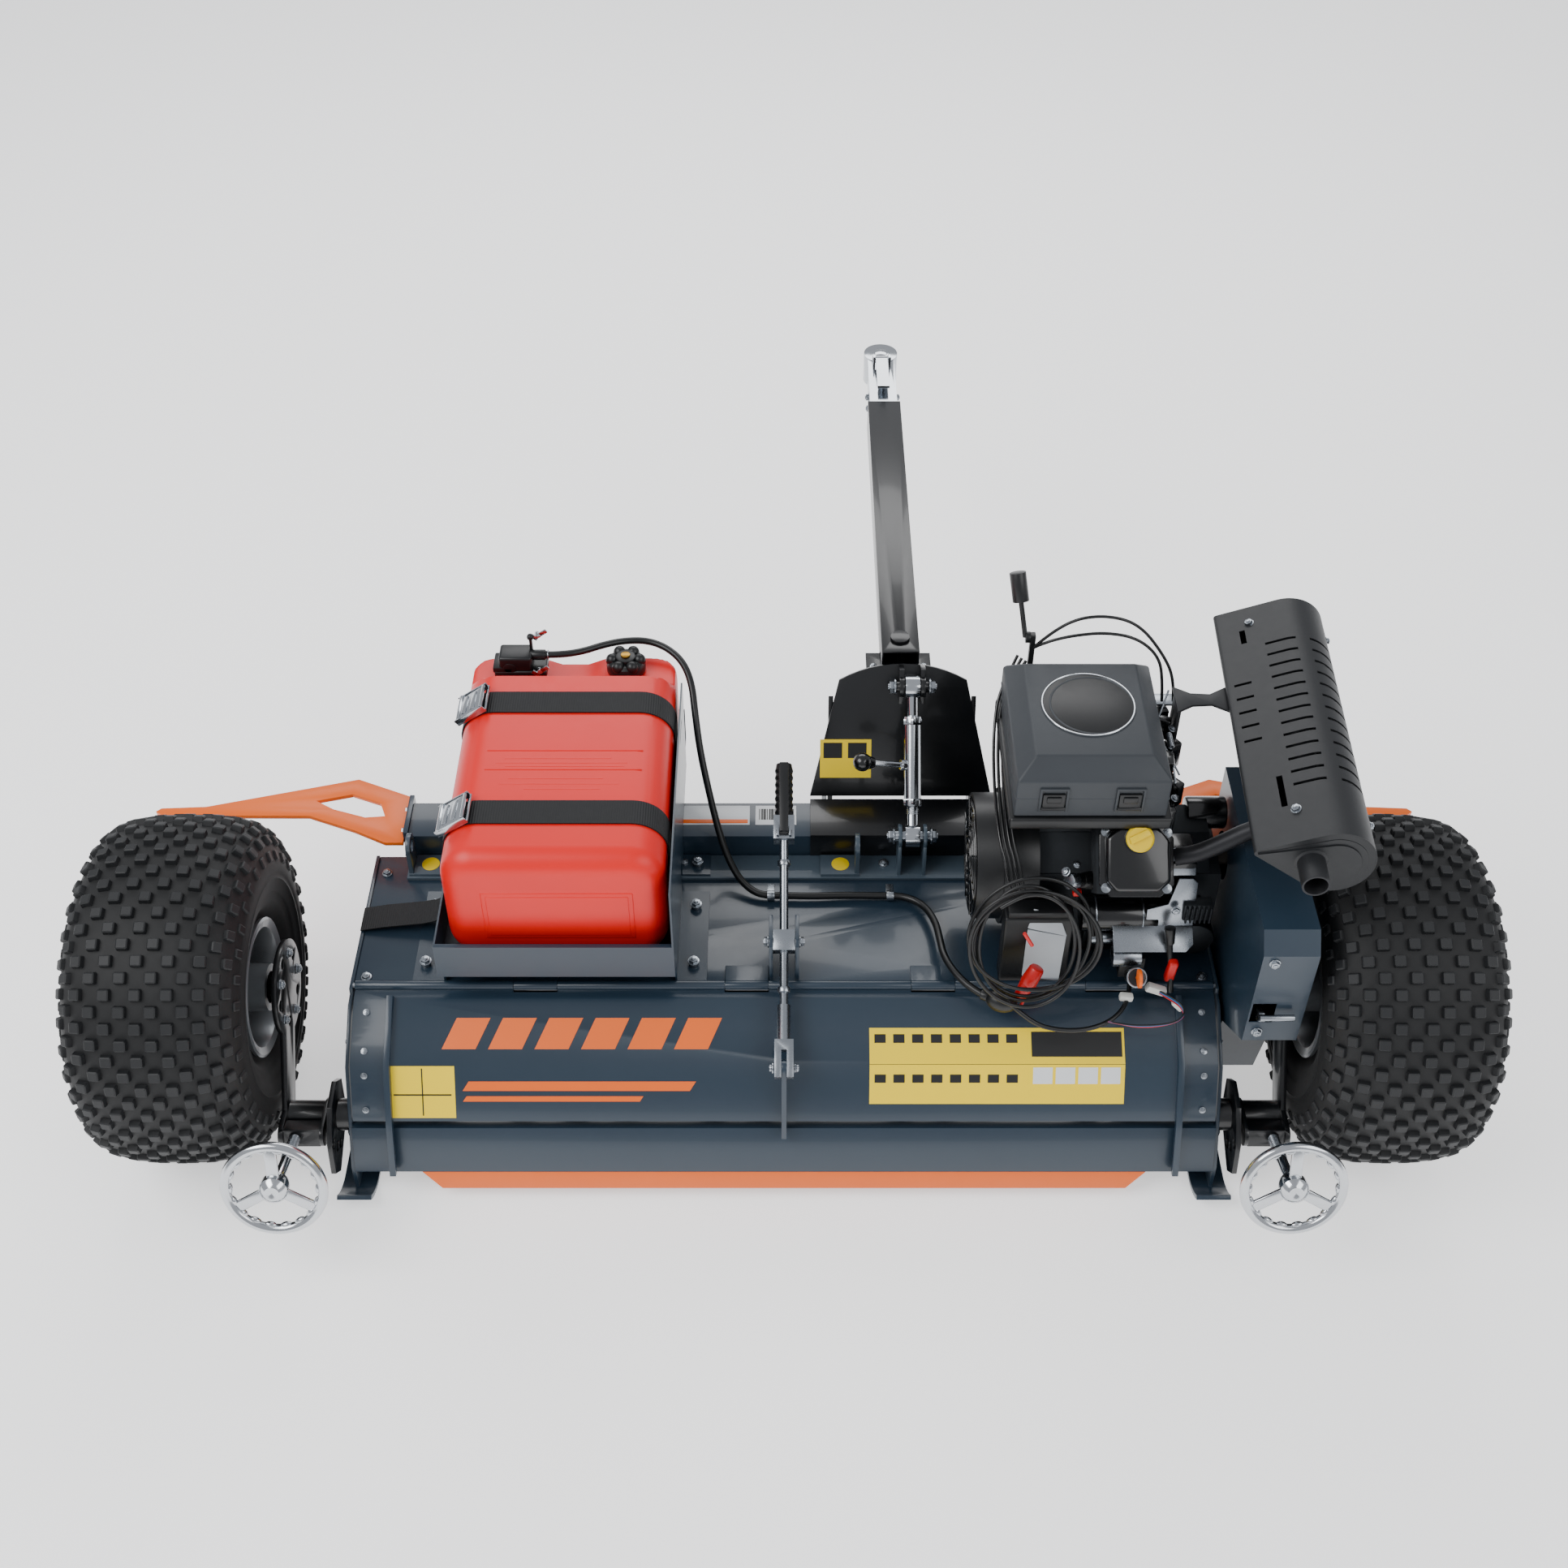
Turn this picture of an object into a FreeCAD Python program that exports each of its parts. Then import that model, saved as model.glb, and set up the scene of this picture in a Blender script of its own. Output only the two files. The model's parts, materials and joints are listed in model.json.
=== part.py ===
"""Towed flail brush mower with its own petrol engine.

Every sub-part is an object of one FreeCAD document and takes its sizes from the
sheet "Dims". All places are written from the wheel axle: X to the right, Y
forwards to the ball coupler, Z up from the ground. The cell axle_y then moves
the whole machine so that the origin lies under the middle of its outline.
"""
import FreeCAD, Part
import math
import os
import re
from FreeCAD import Placement, Rotation, Vector

DIMENSIONS = {
    # frame
    "axle_y": -562, "axle_z": 280, "wheel_x": 955,
    # deck
    "deck_half": 700, "side_plate": 6, "sheet": 4, "deck_top": 280, "deck_front": 290,
    "hinge_z": 284, "knuckle_radius": 8, "hinge_pin_radius": 4,
    "shelf_rear": 234, "shelf_plate": 6, "beam_half": 640, "beam_depth": 80, "beam_height": 80,
    "beam_base": 250, "beam_wall": 4, "end_plate": 8, "bumper_z": 316, "bumper_plate": 8,
    # wheels
    "stub_radius": 20, "arm_pivot_y": -132, "arm_pivot_z": 118, "arm_shaft_radius": 16,
    "handwheel_x": 780, "handwheel_y": -316, "handwheel_z": 181, "handwheel_radius": 83,
    "screw_radius": 8, "screw_rise": 21,
    # rotor and belt drive
    "rotor_y": 95, "rotor_z": 160, "rotor_radius": 35, "flail_radius": 104, "rotor_shaft": 17.5,
    "crank_y": 155, "crank_z": 425, "rotor_pulley": 75, "crank_pulley": 68, "pulley_x": 745,
    "pulley_width": 30, "belt_thick": 9, "running_fit": 0.05,
    # fuel tank and its tray
    "tank_left": -530, "tank_right": -182, "tank_rear": 5, "tank_front": 520,
    "tank_base": 338, "tank_top": 568, "tank_round": 55, "tray_sheet": 3,
    "strap_rear_y": 109, "strap_front_y": 364, "strap_width": 50, "strap_thick": 2.5,
    # engine
    "engine_left": 400, "engine_right": 690, "filter_left": 345, "filter_right": 575,
    "filter_rear": 44, "filter_front": 308, "filter_base": 625, "filter_top": 725,
    "muffler_x": 793, "muffler_z": 665, "muffler_radius": 50, "guard_radius": 59,
    "guard_rear": -89, "guard_length": 533, "guard_corner": 112, "guard_wall": 3, "guard_yaw": 2.8,
    # hitch
    "hitch_x": 202, "pitch_y": 395, "pitch_z": 300, "drawbar_x": 198, "drawbar_size": 64,
    "drawbar_base": 502, "drawbar_rear": 496, "drawbar_front": 1262, "swing_y": 532,
    "coupler_y": 1449, "ball_radius": 25.6, "link_x": 216, "link_low_y": 265, "link_low_z": 357,
    "link_high_y": 438, "link_high_z": 538, "link_pin": 9.5,
}

DOC = FreeCAD.newDocument("brush_mower")
SHEET = DOC.addObject("Spreadsheet::Sheet", "Dims")
for row, (alias, value) in enumerate(DIMENSIONS.items(), start=1):
    SHEET.set(f"A{row}", alias)
    SHEET.set(f"B{row}", str(value))
    SHEET.setAlias(f"B{row}", alias)
DOC.recompute()

X, Y, Z = Vector(1, 0, 0), Vector(0, 1, 0), Vector(0, 0, 1)
NODES = []
OWN_Y = {}


class Cells:
    """The sheet's numbers, for shapes that are set in code."""

    def __getattr__(self, alias):
        return float(SHEET.get(alias))


dim = Cells()


# ---------------------------------------------------------------- helpers

def bind(obj, path, text):
    """Bind one property to an expression; each word in it is a cell of the sheet."""
    obj.setExpression(path, re.sub(r"[a-z]\w+", lambda word: "Dims." + word.group(0), str(text)))


def locate(obj, at, rotation=None):
    """Put a primitive at a point whose coordinates are numbers or expressions."""
    if rotation is not None:
        obj.Placement = Placement(Vector(), rotation)
    for axis, text in zip("xyz", at):
        bind(obj, "Placement.Base." + axis, text)
    OWN_Y[obj.Name] = str(at[1])
    return obj


def box(name, size, at, rotation=None):
    """A Part::Box from its corner."""
    obj = DOC.addObject("Part::Box", name)
    for path, text in zip(("Length", "Width", "Height"), size):
        bind(obj, path, text)
    return locate(obj, at, rotation)


def rod(name, radius, length, at, along=Z):
    """A Part::Cylinder that starts at a point and runs along a direction."""
    obj = DOC.addObject("Part::Cylinder", name)
    bind(obj, "Radius", radius)
    bind(obj, "Height", length)
    return locate(obj, at, Rotation(Z, along))


def cut(name, base, *tools):
    """The base without the tools."""
    obj = DOC.addObject("Part::Cut", name)
    obj.Base = base
    obj.Tool = tools[0] if len(tools) == 1 else fuse(name + "_tools", *tools)
    return obj


def fuse(name, *parts):
    """Parts welded into one solid."""
    obj = DOC.addObject("Part::MultiFuse", name)
    obj.Shapes = list(parts)
    return obj


def group(name, *parts):
    """Separate solids that share a node."""
    obj = DOC.addObject("Part::Compound", name)
    obj.Links = list(parts)
    return obj


def solid(name, shape):
    """A Part::Feature whose shape is set in code."""
    obj = DOC.addObject("Part::Feature", name)
    obj.Shape = shape
    OWN_Y[obj.Name] = str(obj.Placement.Base.y)
    return obj


def trim_edges(kind, name, base, radius, chosen):
    """Round or bevel the edges of a primitive that a test picks."""
    DOC.recompute()
    obj = DOC.addObject(kind, name)
    obj.Base = base
    edges = enumerate(base.Shape.Edges, start=1)
    obj.Edges = [(index, radius, radius) for index, edge in edges if chosen(edge)]
    return obj


def profile(name, plane, outline, length, start, holes=()):
    """A PartDesign body: a closed outline with round holes, padded from a plane.

    The plane is "YZ" (outline in Y and Z, padded along +X), "XY" (padded along
    +Z) or "XZ" (padded along -Y). Holes are (first, second, radius).
    """
    body = DOC.addObject("PartDesign::Body", name)
    sketch = body.newObject("Sketcher::SketchObject", name + "_sketch")
    role = plane + "_Plane"
    sketch.AttachmentSupport = [(next(f for f in body.Origin.OriginFeatures if f.Role == role), "")]
    sketch.MapMode = "FlatFace"
    bind(sketch, "AttachmentOffset.Base.z", start)
    corners = [Vector(a, b, 0) for a, b in outline]
    for first, second in zip(corners, corners[1:] + corners[:1]):
        sketch.addGeometry(Part.LineSegment(first, second), False)
    for a, b, radius in holes:
        sketch.addGeometry(Part.Circle(Vector(a, b, 0), Z, radius), False)
    pad = body.newObject("PartDesign::Pad", name + "_pad")
    pad.Profile = sketch
    bind(pad, "Length", length)
    return body


def turned(name, outline, at):
    """A PartDesign body: an outline (along X, radius) revolved about its own X axis."""
    body = DOC.addObject("PartDesign::Body", name)
    sketch = body.newObject("Sketcher::SketchObject", name + "_sketch")
    sketch.AttachmentSupport = [(next(f for f in body.Origin.OriginFeatures if f.Role == "XY_Plane"), "")]
    sketch.MapMode = "FlatFace"
    corners = [Vector(a, b, 0) for a, b in outline]
    for first, second in zip(corners, corners[1:] + corners[:1]):
        sketch.addGeometry(Part.LineSegment(first, second), False)
    turn = body.newObject("PartDesign::Revolution", name + "_turn")
    turn.Profile = sketch
    turn.ReferenceAxis = (sketch, ["H_Axis"])
    turn.Angle = 360
    return locate(body, at)


def arc_points(centre, radius, first, last, steps):
    """Points on an arc, for an outline; angles in degrees."""
    angles = [math.radians(first + (last - first) * i / steps) for i in range(steps + 1)]
    return [(centre[0] + radius * math.cos(a), centre[1] + radius * math.sin(a)) for a in angles]


def hull_face(circles, along, start):
    """The face around two circles (Y, Z, radius), joined by their outer tangents, at one X."""
    (y1, z1, r1), (y2, z2, r2) = circles
    base = math.atan2(z2 - z1, y2 - y1)
    lean = math.acos((r1 - r2) / math.hypot(y2 - y1, z2 - z1))

    def on(circle, angle):
        return Vector(start, circle[0] + circle[2] * math.cos(angle), circle[1] + circle[2] * math.sin(angle))

    a, b = circles
    left, right = base + lean, base - lean
    edges = [
        Part.Arc(on(a, left), on(a, base + math.pi), on(a, right)).toShape(),
        Part.LineSegment(on(a, right), on(b, right)).toShape(),
        Part.Arc(on(b, right), on(b, base), on(b, left)).toShape(),
        Part.LineSegment(on(b, left), on(a, left)).toShape(),
    ]
    return Part.Face(Part.Wire(Part.__sortEdges__(edges))).extrude(X * along)


def cord(route, radius, label):
    """A tube of straight runs and tangent arcs along a route, and a check of its volume."""
    points = [Vector(*p) for p in route]
    edges, radii, last = [], [], points[0]
    for before, corner, after in zip(points, points[1:], points[2:]):
        back, ahead = (before - corner), (after - corner)
        reach = 0.45 * min(back.Length, ahead.Length)
        back.normalize()
        ahead.normalize()
        turn = math.pi - back.getAngle(ahead)
        bend = reach / math.tan(turn / 2)
        radii.append(bend)
        start, end = corner + back * reach, corner + ahead * reach
        middle = (back + ahead).normalize()
        centre = corner + middle * math.hypot(bend, reach)
        edges.append(Part.LineSegment(last, start).toShape())
        edges.append(Part.Arc(start, centre - middle * bend, end).toShape())
        last = end
    edges.append(Part.LineSegment(last, points[-1]).toShape())
    path = Part.Wire(edges)
    section = Part.Wire(Part.makeCircle(radius, points[0], points[1] - points[0]))
    tube = path.makePipeShell([section], True, False)
    length = sum(edge.Length for edge in edges)
    share = tube.Volume / (math.pi * radius ** 2 * length)
    print(f"{label}: length {length:.0f}, smallest arc {min(radii):.0f}, volume share {share:.3f}")
    return tube


def node(obj, label):
    """Give a sub-part its label and move it from the axle's frame to the machine's frame."""
    obj.Label = label
    bind(obj, "Placement.Base.y", "axle_y + (" + OWN_Y.get(obj.Name, "0") + ")")
    NODES.append(obj)


# ---------------------------------------------------------------- deck

def hinge_spans():
    """Where the deck's own hinge knuckles sit along X, as (start, width)."""
    return [(centre - 35, 70) for centre in (-400, -60, 240, 520)]


def deck():
    """The bent top and front sheet with its knuckles and the adjuster's rack plates."""
    inner = "2*deck_half - 2*side_plate"
    top = box("top_sheet", (inner, "deck_front - 10", "sheet"), ("side_plate - deck_half", 10, "deck_top - sheet"))
    front = box("front_sheet", (inner, "sheet", 150),
                ("side_plate - deck_half", "deck_front - sheet", "deck_top - sheet - 150"))
    parts = [top, front]
    for index, (start, width) in enumerate(hinge_spans()):
        parts.append(rod(f"knuckle_{index}", "knuckle_radius", width, (start, 0, "hinge_z"), X))
        parts.append(box(f"leaf_{index}", (width, 42, "sheet"), (start, 0, "deck_top")))
    for index, x in enumerate((-24, 18)):
        outline = [(12, 280), (12, 300), (22, 352), (32, 360), (84, 360), (92, 350), (92, 280)]
        parts.append(profile(f"rack_{index}", "YZ", outline, 6, x, holes=[(40, 345, 8.05)]))
    bore = rod("hinge_bore", "hinge_pin_radius", "2*deck_half", ("-deck_half", 0, "hinge_z"), X)
    node(cut("deck_shell_solid", fuse("deck_shell_blank", *parts), bore), "deck_shell")


def shelf():
    """The raised strip that carries the lifting eyes and the top link's clevis."""
    strip = box("strip", ("2*beam_half", "deck_front - shelf_rear - 2", "shelf_plate"),
                ("-beam_half", "shelf_rear", "deck_top"))
    parts = [strip]
    for index, x in enumerate((192, 234)):
        outline = [(240, 286), (286, 286), (286, 345)] + arc_points((265, 357), 20, -30, 210, 10) + [(240, 330)]
        parts.append(profile(f"clevis_{index}", "YZ", outline, 6, x, holes=[(265, 357, 9.5)]))
    for index, (x, side) in enumerate(((-636, -1), (62, 1))):
        parts.append(box(f"eye_foot_{index}", (66, 46, 5), (x, 238, 286)))
        plate = profile(f"eye_{index}", "YZ",
                        [(240, 291), (282, 291), (282, 322)] + arc_points((261, 338), 21, -20, 200, 10),
                        8, x if side < 0 else x + 58, holes=[(261, 338, 11)])
        parts.append(plate)
    node(fuse("deck_shelf_solid", *parts), "deck_shelf")


def side_outline():
    """Outline of a side plate in Y and Z, standing on its skid."""
    return [(-200, 8), (286, 8), (290, 20), (290, 283), (-6, 283), (-8, 272), (-30, 270),
            (-112, 214), (-150, 145), (-196, 60)]


def sides():
    """Both side plates, each welded to a bent skid."""
    plates = []
    for side in (-1, 1):
        start = "-deck_half" if side < 0 else "deck_half - side_plate"
        plate = profile(f"side_plate_{side + 1}", "YZ", side_outline(), "side_plate", start,
                        holes=[(95, 160, 30)])
        skid_line = [(-170, 0), (285, 0)] + arc_points((285, 90), 90, -88, -40, 6)
        skid_line += arc_points((285, 90), 82, -40, -90, 6)
        skid_line += arc_points((-170, 90), 82, -90, -138, 6) + arc_points((-170, 90), 90, -138, -92, 6)
        skid = profile(f"skid_{side + 1}", "YZ", skid_line, 56, "-deck_half - 22" if side < 0 else "deck_half - 34")
        plates.append(fuse(f"side_{side + 1}", plate, skid))
    node(group("side_plates_pair", *plates), "side_plates")


def beam():
    """The box beam across the front with its end plates and the hitch's pivot lugs."""
    outer = box("beam_outer", ("2*beam_half", "beam_depth", "beam_height"), ("-beam_half", "deck_front", "beam_base"))
    inner = box("beam_inner", ("2*beam_half", "beam_depth - 2*beam_wall", "beam_height - 2*beam_wall"),
                ("-beam_half", "deck_front + beam_wall", "beam_base + beam_wall"))
    parts = [cut("beam_tube", outer, inner)]
    for side in (-1, 1):
        x = "-beam_half - end_plate" if side < 0 else "beam_half"
        parts.append(box(f"end_plate_{side + 1}", ("end_plate", 92, 96), (x, "deck_front", 242)))
    for index, x in enumerate((66, 330)):
        lug = [(370, 272), (385, 272)] + arc_points((395, 300), 18, -70, 70, 8) + [(370, 328)]
        parts.append(profile(f"pivot_lug_{index}", "YZ", lug, 8, x, holes=[(395, 300, 8)]))
    node(fuse("front_beam_solid", *parts), "front_beam")


def bumper_arms():
    """Flat orange arms that reach out ahead of the wheels."""
    arms = []
    for side in (-1, 1):
        outline = [(648, 281), (648, 392), (747, 436), (1001, 368), (1078, 364), (1086, 356),
                   (1072, 346), (930, 346), (819, 345), (735, 310), (679, 281)]
        slot = [(688, 345), (700, 376), (752, 398), (812, 382), (780, 362), (722, 342)]
        plate = profile(f"arm_plate_{side + 1}", "XY", [(side * x, y) for x, y in outline],
                        "bumper_plate", "bumper_z")
        window = profile(f"arm_window_{side + 1}", "XY", [(side * x, y) for x, y in slot],
                         "bumper_plate + 4", "bumper_z - 2")
        arms.append(cut(f"arm_{side + 1}", plate, window))
    node(group("bumper_arms_pair", *arms), "bumper_arms")


def rear_bar():
    """The fixed bar across the back and the orange skirt below it."""
    outline = [(-168, 130), (-200, 55), (-172.4, 43.2), (-140.4, 118.2)]
    node(profile("rear_cross_bar_body", "YZ", outline, "2*deck_half - 2*side_plate", "side_plate - deck_half"),
         "rear_cross_bar")
    plate = profile("skirt_plate", "YZ", [(-199.8, 54.5), (-212, 26), (-208.3, 24.4), (-196.1, 53)],
                    1200, -600)
    corners = []
    for side in (-1, 1):
        outline = [(side * 548, 20), (side * 602, 20), (side * 602, 60), (side * 592, 60)]
        corners.append(profile(f"skirt_corner_{side + 1}", "XZ", outline, 60, 180))
    node(cut("rear_skirt_solid", plate, *corners), "rear_skirt")


# ---------------------------------------------------------------- hood and its adjuster

def hood():
    """The rear hood: a bent sheet with knuckles, two edge straps and the adjuster's lug."""
    outline = [(-6, 281), (-25, 279), (-115, 227), (-165, 144), (-161.5, 142), (-112, 223),
               (-24, 274.5), (-6, 277)]
    panel = profile("hood_sheet", "YZ", outline, "2*deck_half - 20", "10 - deck_half")
    barrel = rod("hood_barrel", "knuckle_radius", "2*deck_half - 20", ("10 - deck_half", 0, "hinge_z"), X)
    parts = [panel, barrel]
    strap_line = [(-20, 279), (-27, 292), (-124, 236), (-177, 148), (-214, 62), (-205, 58), (-170, 141),
                  (-165, 144), (-115, 227), (-25, 279)]
    for side in (-1, 1):
        parts.append(profile(f"hood_strap_{side + 1}", "YZ", strap_line, 10, side * 630 - 5))
    lug_line = [(-108, 231)] + arc_points((-142, 253), 13, -20, 180, 8)
    lug_line += [(-178, 165), (-188, 128), (-180, 124), (-163, 142), (-115, 226)]
    parts.append(profile("hood_lug", "YZ", lug_line, 8, -4))
    parts.append(rod("clevis_pin", 6, 40, (-20, -142, 253), X))
    blank = fuse("hood_blank", *parts)
    tools = [rod("hood_bore", "hinge_pin_radius + running_fit", "2*deck_half", ("-deck_half", 0, "hinge_z"), X)]
    for index, (start, width) in enumerate(hinge_spans()):
        tools.append(box(f"hood_gap_{index}", (width + 1, 24, 30), (start - 0.5, -11, 268)))
    node(cut("hood_panel_solid", blank, *tools), "hood_panel")


def adjuster_axis():
    """Lower pin, trunnion and unit direction of the adjuster's rod."""
    pin, trunnion = Vector(0, -142, 253), Vector(0, 40, 345)
    return pin, trunnion, (trunnion - pin).normalize()


def adjuster():
    """The rod that holds the hood open, its trunnion, grip and release trigger."""
    pin, trunnion, along = adjuster_axis()
    tilt = Rotation(Y, along)
    up = tilt.multVec(Z)
    block = Part.makeBox(35, 34, 26, Vector(-17.5, -17, -13))
    block.Placement = Placement(trunnion, tilt)
    axle = Part.makeCylinder(8, 49, trunnion - X * 24.5, X)
    bore = Part.makeCylinder(7.05, 120, trunnion - along * 60, along)
    node(solid("trunnion", block.fuse(axle).cut(bore)), "adjuster_trunnion")

    bar = Part.makeCylinder(7, 470, pin + along * 26, along)
    sleeve = Part.makeCylinder(11, 70, pin + along * 30, along)
    fork = Part.makeBox(30, 60, 22, Vector(-15, -16, -11))
    gap = Part.makeBox(9, 44, 24, Vector(-4.5, -17, -12))
    head = Part.makeBox(34, 40, 34, Vector(-17, 372, -17))
    ears = [Part.makeBox(4, 16, 14, Vector(x, 374, 15)) for x in (-12, 8)]
    hinge_hole = Part.makeCylinder(3 + dim.running_fit, 34, Vector(-17, 382, 22.5), X)
    for shape in [fork, gap, head, hinge_hole] + ears:
        shape.Placement = Placement(pin, tilt)
    hole = Part.makeCylinder(7.5, 40, pin - X * 20, X)
    block = bar.fuse([sleeve, fork, head] + ears)
    node(solid("rod_solid", block.cut(gap).cut(hole).cut(hinge_hole)), "adjuster_rod")

    start = pin + along * 412.3
    grip = Part.makeCylinder(15, 92, start, along).cut(Part.makeCylinder(7.1, 92, start, along))
    node(solid("grip_solid", grip), "adjuster_grip")
    lever = Part.makeBox(14, 118, 12, Vector(-7, 380, 21))
    barrel = Part.makeCylinder(4.5, 14, Vector(-7, 382, 22.5), X)
    hinge_pin = Part.makeCylinder(3, 26, Vector(-13, 382, 22.5), X)
    for shape in (lever, barrel, hinge_pin):
        shape.Placement = Placement(pin, tilt)
    node(solid("trigger_solid", lever.fuse([barrel, hinge_pin])), "adjuster_trigger")


# ---------------------------------------------------------------- fuel tank

def tank_shape():
    """The rounded tank with the low step at its front end that carries the cap."""
    size = (dim.tank_right - dim.tank_left, dim.tank_front - dim.tank_rear, dim.tank_top - dim.tank_base)
    body = Part.makeBox(*size, Vector(dim.tank_left, dim.tank_rear, dim.tank_base))
    long_edges = [e for e in body.Edges if abs(e.Vertexes[0].Y - e.Vertexes[1].Y) > 1]
    body = body.makeFillet(dim.tank_round, long_edges)
    ends = [e for e in body.Edges if e.BoundBox.YLength < 0.1]
    body = body.makeFillet(34, ends)
    step = Part.makeBox(400, 90, 60, Vector(dim.tank_left - 20, 448, 532))
    return body.cut(step)


def strap_shape(centre_y):
    """One webbing strap: down both sides of the tank and over its top."""
    gap, thick = 0.4, dim.strap_thick

    def section(offset):
        wide = dim.tank_right - dim.tank_left + 2 * offset
        high = dim.tank_top - dim.tank_base + offset + 60
        low = Vector(dim.tank_left - offset, centre_y - dim.strap_width / 2, dim.tank_base - 60)
        block = Part.makeBox(wide, dim.strap_width, high, low)
        top = [e for e in block.Edges if e.BoundBox.ZMin > 400 and e.BoundBox.YLength > 1]
        return block.makeFillet(dim.tank_round + offset, top)

    below = Part.makeBox(500, 80, 200, Vector(-600, centre_y - 40, dim.tank_base - 194))
    return section(gap + thick).cut(section(gap)).cut(below)


def buckle_place(centre_y):
    """Where a buckle lies: on the rounded upper left edge of the tank."""
    angle = math.radians(125)
    radius = dim.tank_round + 3.1
    centre = Vector(dim.tank_left + dim.tank_round, centre_y, dim.tank_top - dim.tank_round)
    point = centre + Vector(math.cos(angle), 0, math.sin(angle)) * radius
    return Placement(point, Rotation(Y, -35))


def fuel():
    """Tray, tank, cap, gauge block, straps and their buckles."""
    tray = [
        box("tray_base", (373, 555, "tray_sheet"), (-548, -25, "tank_base - tray_sheet")),
        box("tray_rear", (373, "tray_sheet", 70), (-548, -25, "tank_base - tray_sheet")),
        box("tray_front", (373, "tray_sheet", 70), (-548, 527, "tank_base - tray_sheet")),
        box("tray_left", ("tray_sheet", 555, 70), (-548, -25, "tank_base - tray_sheet")),
        box("tray_left_leg", ("tray_sheet", 197, 58), (-548, 9, 280)),
        box("tray_left_foot", (52, 197, "tray_sheet"), (-600, 9, 280)),
        box("tray_right", ("tray_sheet", 486, 192), (-175, -25, "tank_base - tray_sheet")),
        box("tray_right_leg", ("tray_sheet", 197, 58), (-175, 9, 280)),
        box("tray_right_foot", (50, 197, "tray_sheet"), (-175, 9, 280)),
        box("tray_shelf_leg", ("tray_sheet", 46, 52), (-175, 240, 286)),
        box("tray_shelf_foot", (50, 46, "tray_sheet"), (-175, 240, 286)),
    ]
    slots = [box(f"tray_slot_{i}", (12, "strap_width + 8", 9), (-180, f"{y} - strap_width/2 - 4", 500))
             for i, y in enumerate(("strap_rear_y", "strap_front_y"))]
    node(cut("fuel_tray_solid", fuse("tray_blank", *tray), *slots), "fuel_tray")
    node(solid("tank_solid", tank_shape()), "fuel_tank")
    node(fuse("fuel_cap_solid", rod("cap_skirt", 32, 24, (-268, 488, 532.3)),
              rod("cap_grip", 24, 12, (-268, 488, 556.3))), "fuel_cap")
    fitting = [box("gauge_block", (92, 46, 26), (-490, 462, 532)),
               box("gauge_riser", (34, 34, 22), (-470, 468, 558)),
               rod("outlet_stub", 7, 34, (-436, 485, 569), X)]
    node(fuse("fuel_fitting_solid", *fitting), "fuel_fitting")
    node(group("strap_pair", *[solid(f"strap_{i}", strap_shape(y))
                               for i, y in enumerate((dim.strap_rear_y, dim.strap_front_y))]), "tank_straps")
    frames = []
    for index, (label, y) in enumerate((("rear", dim.strap_rear_y), ("front", dim.strap_front_y))):
        place = buckle_place(y)
        frame = Part.makeBox(62, 60, 4, Vector(-31, -30, 0)).cut(Part.makeBox(44, 52, 6, Vector(-22, -26, -1)))
        ears = [Part.makeBox(16, 2, 15, Vector(-31, side, 0)) for side in (-30, 28)]
        frame = frame.fuse(ears).cut(Part.makeCylinder(2.55, 64, Vector(-24, -32, 10), Y))
        frame.Placement = place
        frames.append(solid(f"buckle_{index}", frame))
        lever = Part.makeBox(50, 54, 2.5, Vector(-24, -27, 9)).fuse(Part.makeCylinder(2.5, 62, Vector(-24, -31, 10), Y))
        lever.Placement = place
        node(solid(f"buckle_lever_{label}_solid", lever), f"buckle_lever_{label}")
    node(group("buckle_pair", *frames), "strap_buckles")


def fuel_line():
    """The fuel hose along its clipped route, and the primer bulb in it."""
    route = [(-402, 485, 569), (-376, 485, 569), (-340, 496, 567), (-308, 518, 563), (-272, 534, 559),
             (-234, 538, 556), (-200, 524, 552), (-172, 496, 545), (-156, 458, 530), (-150, 415, 500),
             (-142, 372, 456), (-128, 330, 404), (-112, 288, 352), (-97, 254, 322), (-78, 222, 302),
             (-56, 200, 293), (-34, 190.6, 290), (4, 190, 290), (50, 188.8, 290), (100, 191, 290), (150, 190, 290),
             (202, 190, 290), (234, 166, 293), (250, 124, 299), (254, 82, 306), (258, 36, 312),
             (276, -4, 314), (300, -34, 314), (322, -48, 313)]
    hose = solid("hose_tube", cord(route, 6, "fuel hose"))
    bulb = solid("bulb", Part.makeSphere(20, Vector(342, -55, 312)))
    node(group("fuel_hose_group", hose, bulb), "fuel_hose")


# ---------------------------------------------------------------- engine

def cylinder_shape(x, lean):
    """One finned cylinder that leans from the crank's axis; lean in degrees from upright."""
    up = Vector(0, math.sin(math.radians(lean)), math.cos(math.radians(lean)))
    centre = Vector(x, dim.crank_y, dim.crank_z)
    barrel = Part.makeCylinder(44, 70, centre + up * 96, up)
    shape = barrel
    for index in range(6):
        fin = Part.makeBox(116, 112, 3, Vector(-58, -56, 0))
        fin.Placement = Placement(centre + up * (103 + 10 * index), Rotation(X, -lean))
        shape = shape.fuse(fin)
    return shape


def cover_shape(x, lean):
    """The rocker cover at the top of a cylinder."""
    up = Vector(0, math.sin(math.radians(lean)), math.cos(math.radians(lean)))
    cover = Part.makeBox(118, 122, 34, Vector(-59, -61, 0))
    upright = [e for e in cover.Edges if e.BoundBox.ZLength > 30]
    cover = cover.makeFillet(26, upright)
    cover.Placement = Placement(Vector(x, dim.crank_y, dim.crank_z) + up * 166.2, Rotation(X, -lean))
    return cover


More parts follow.
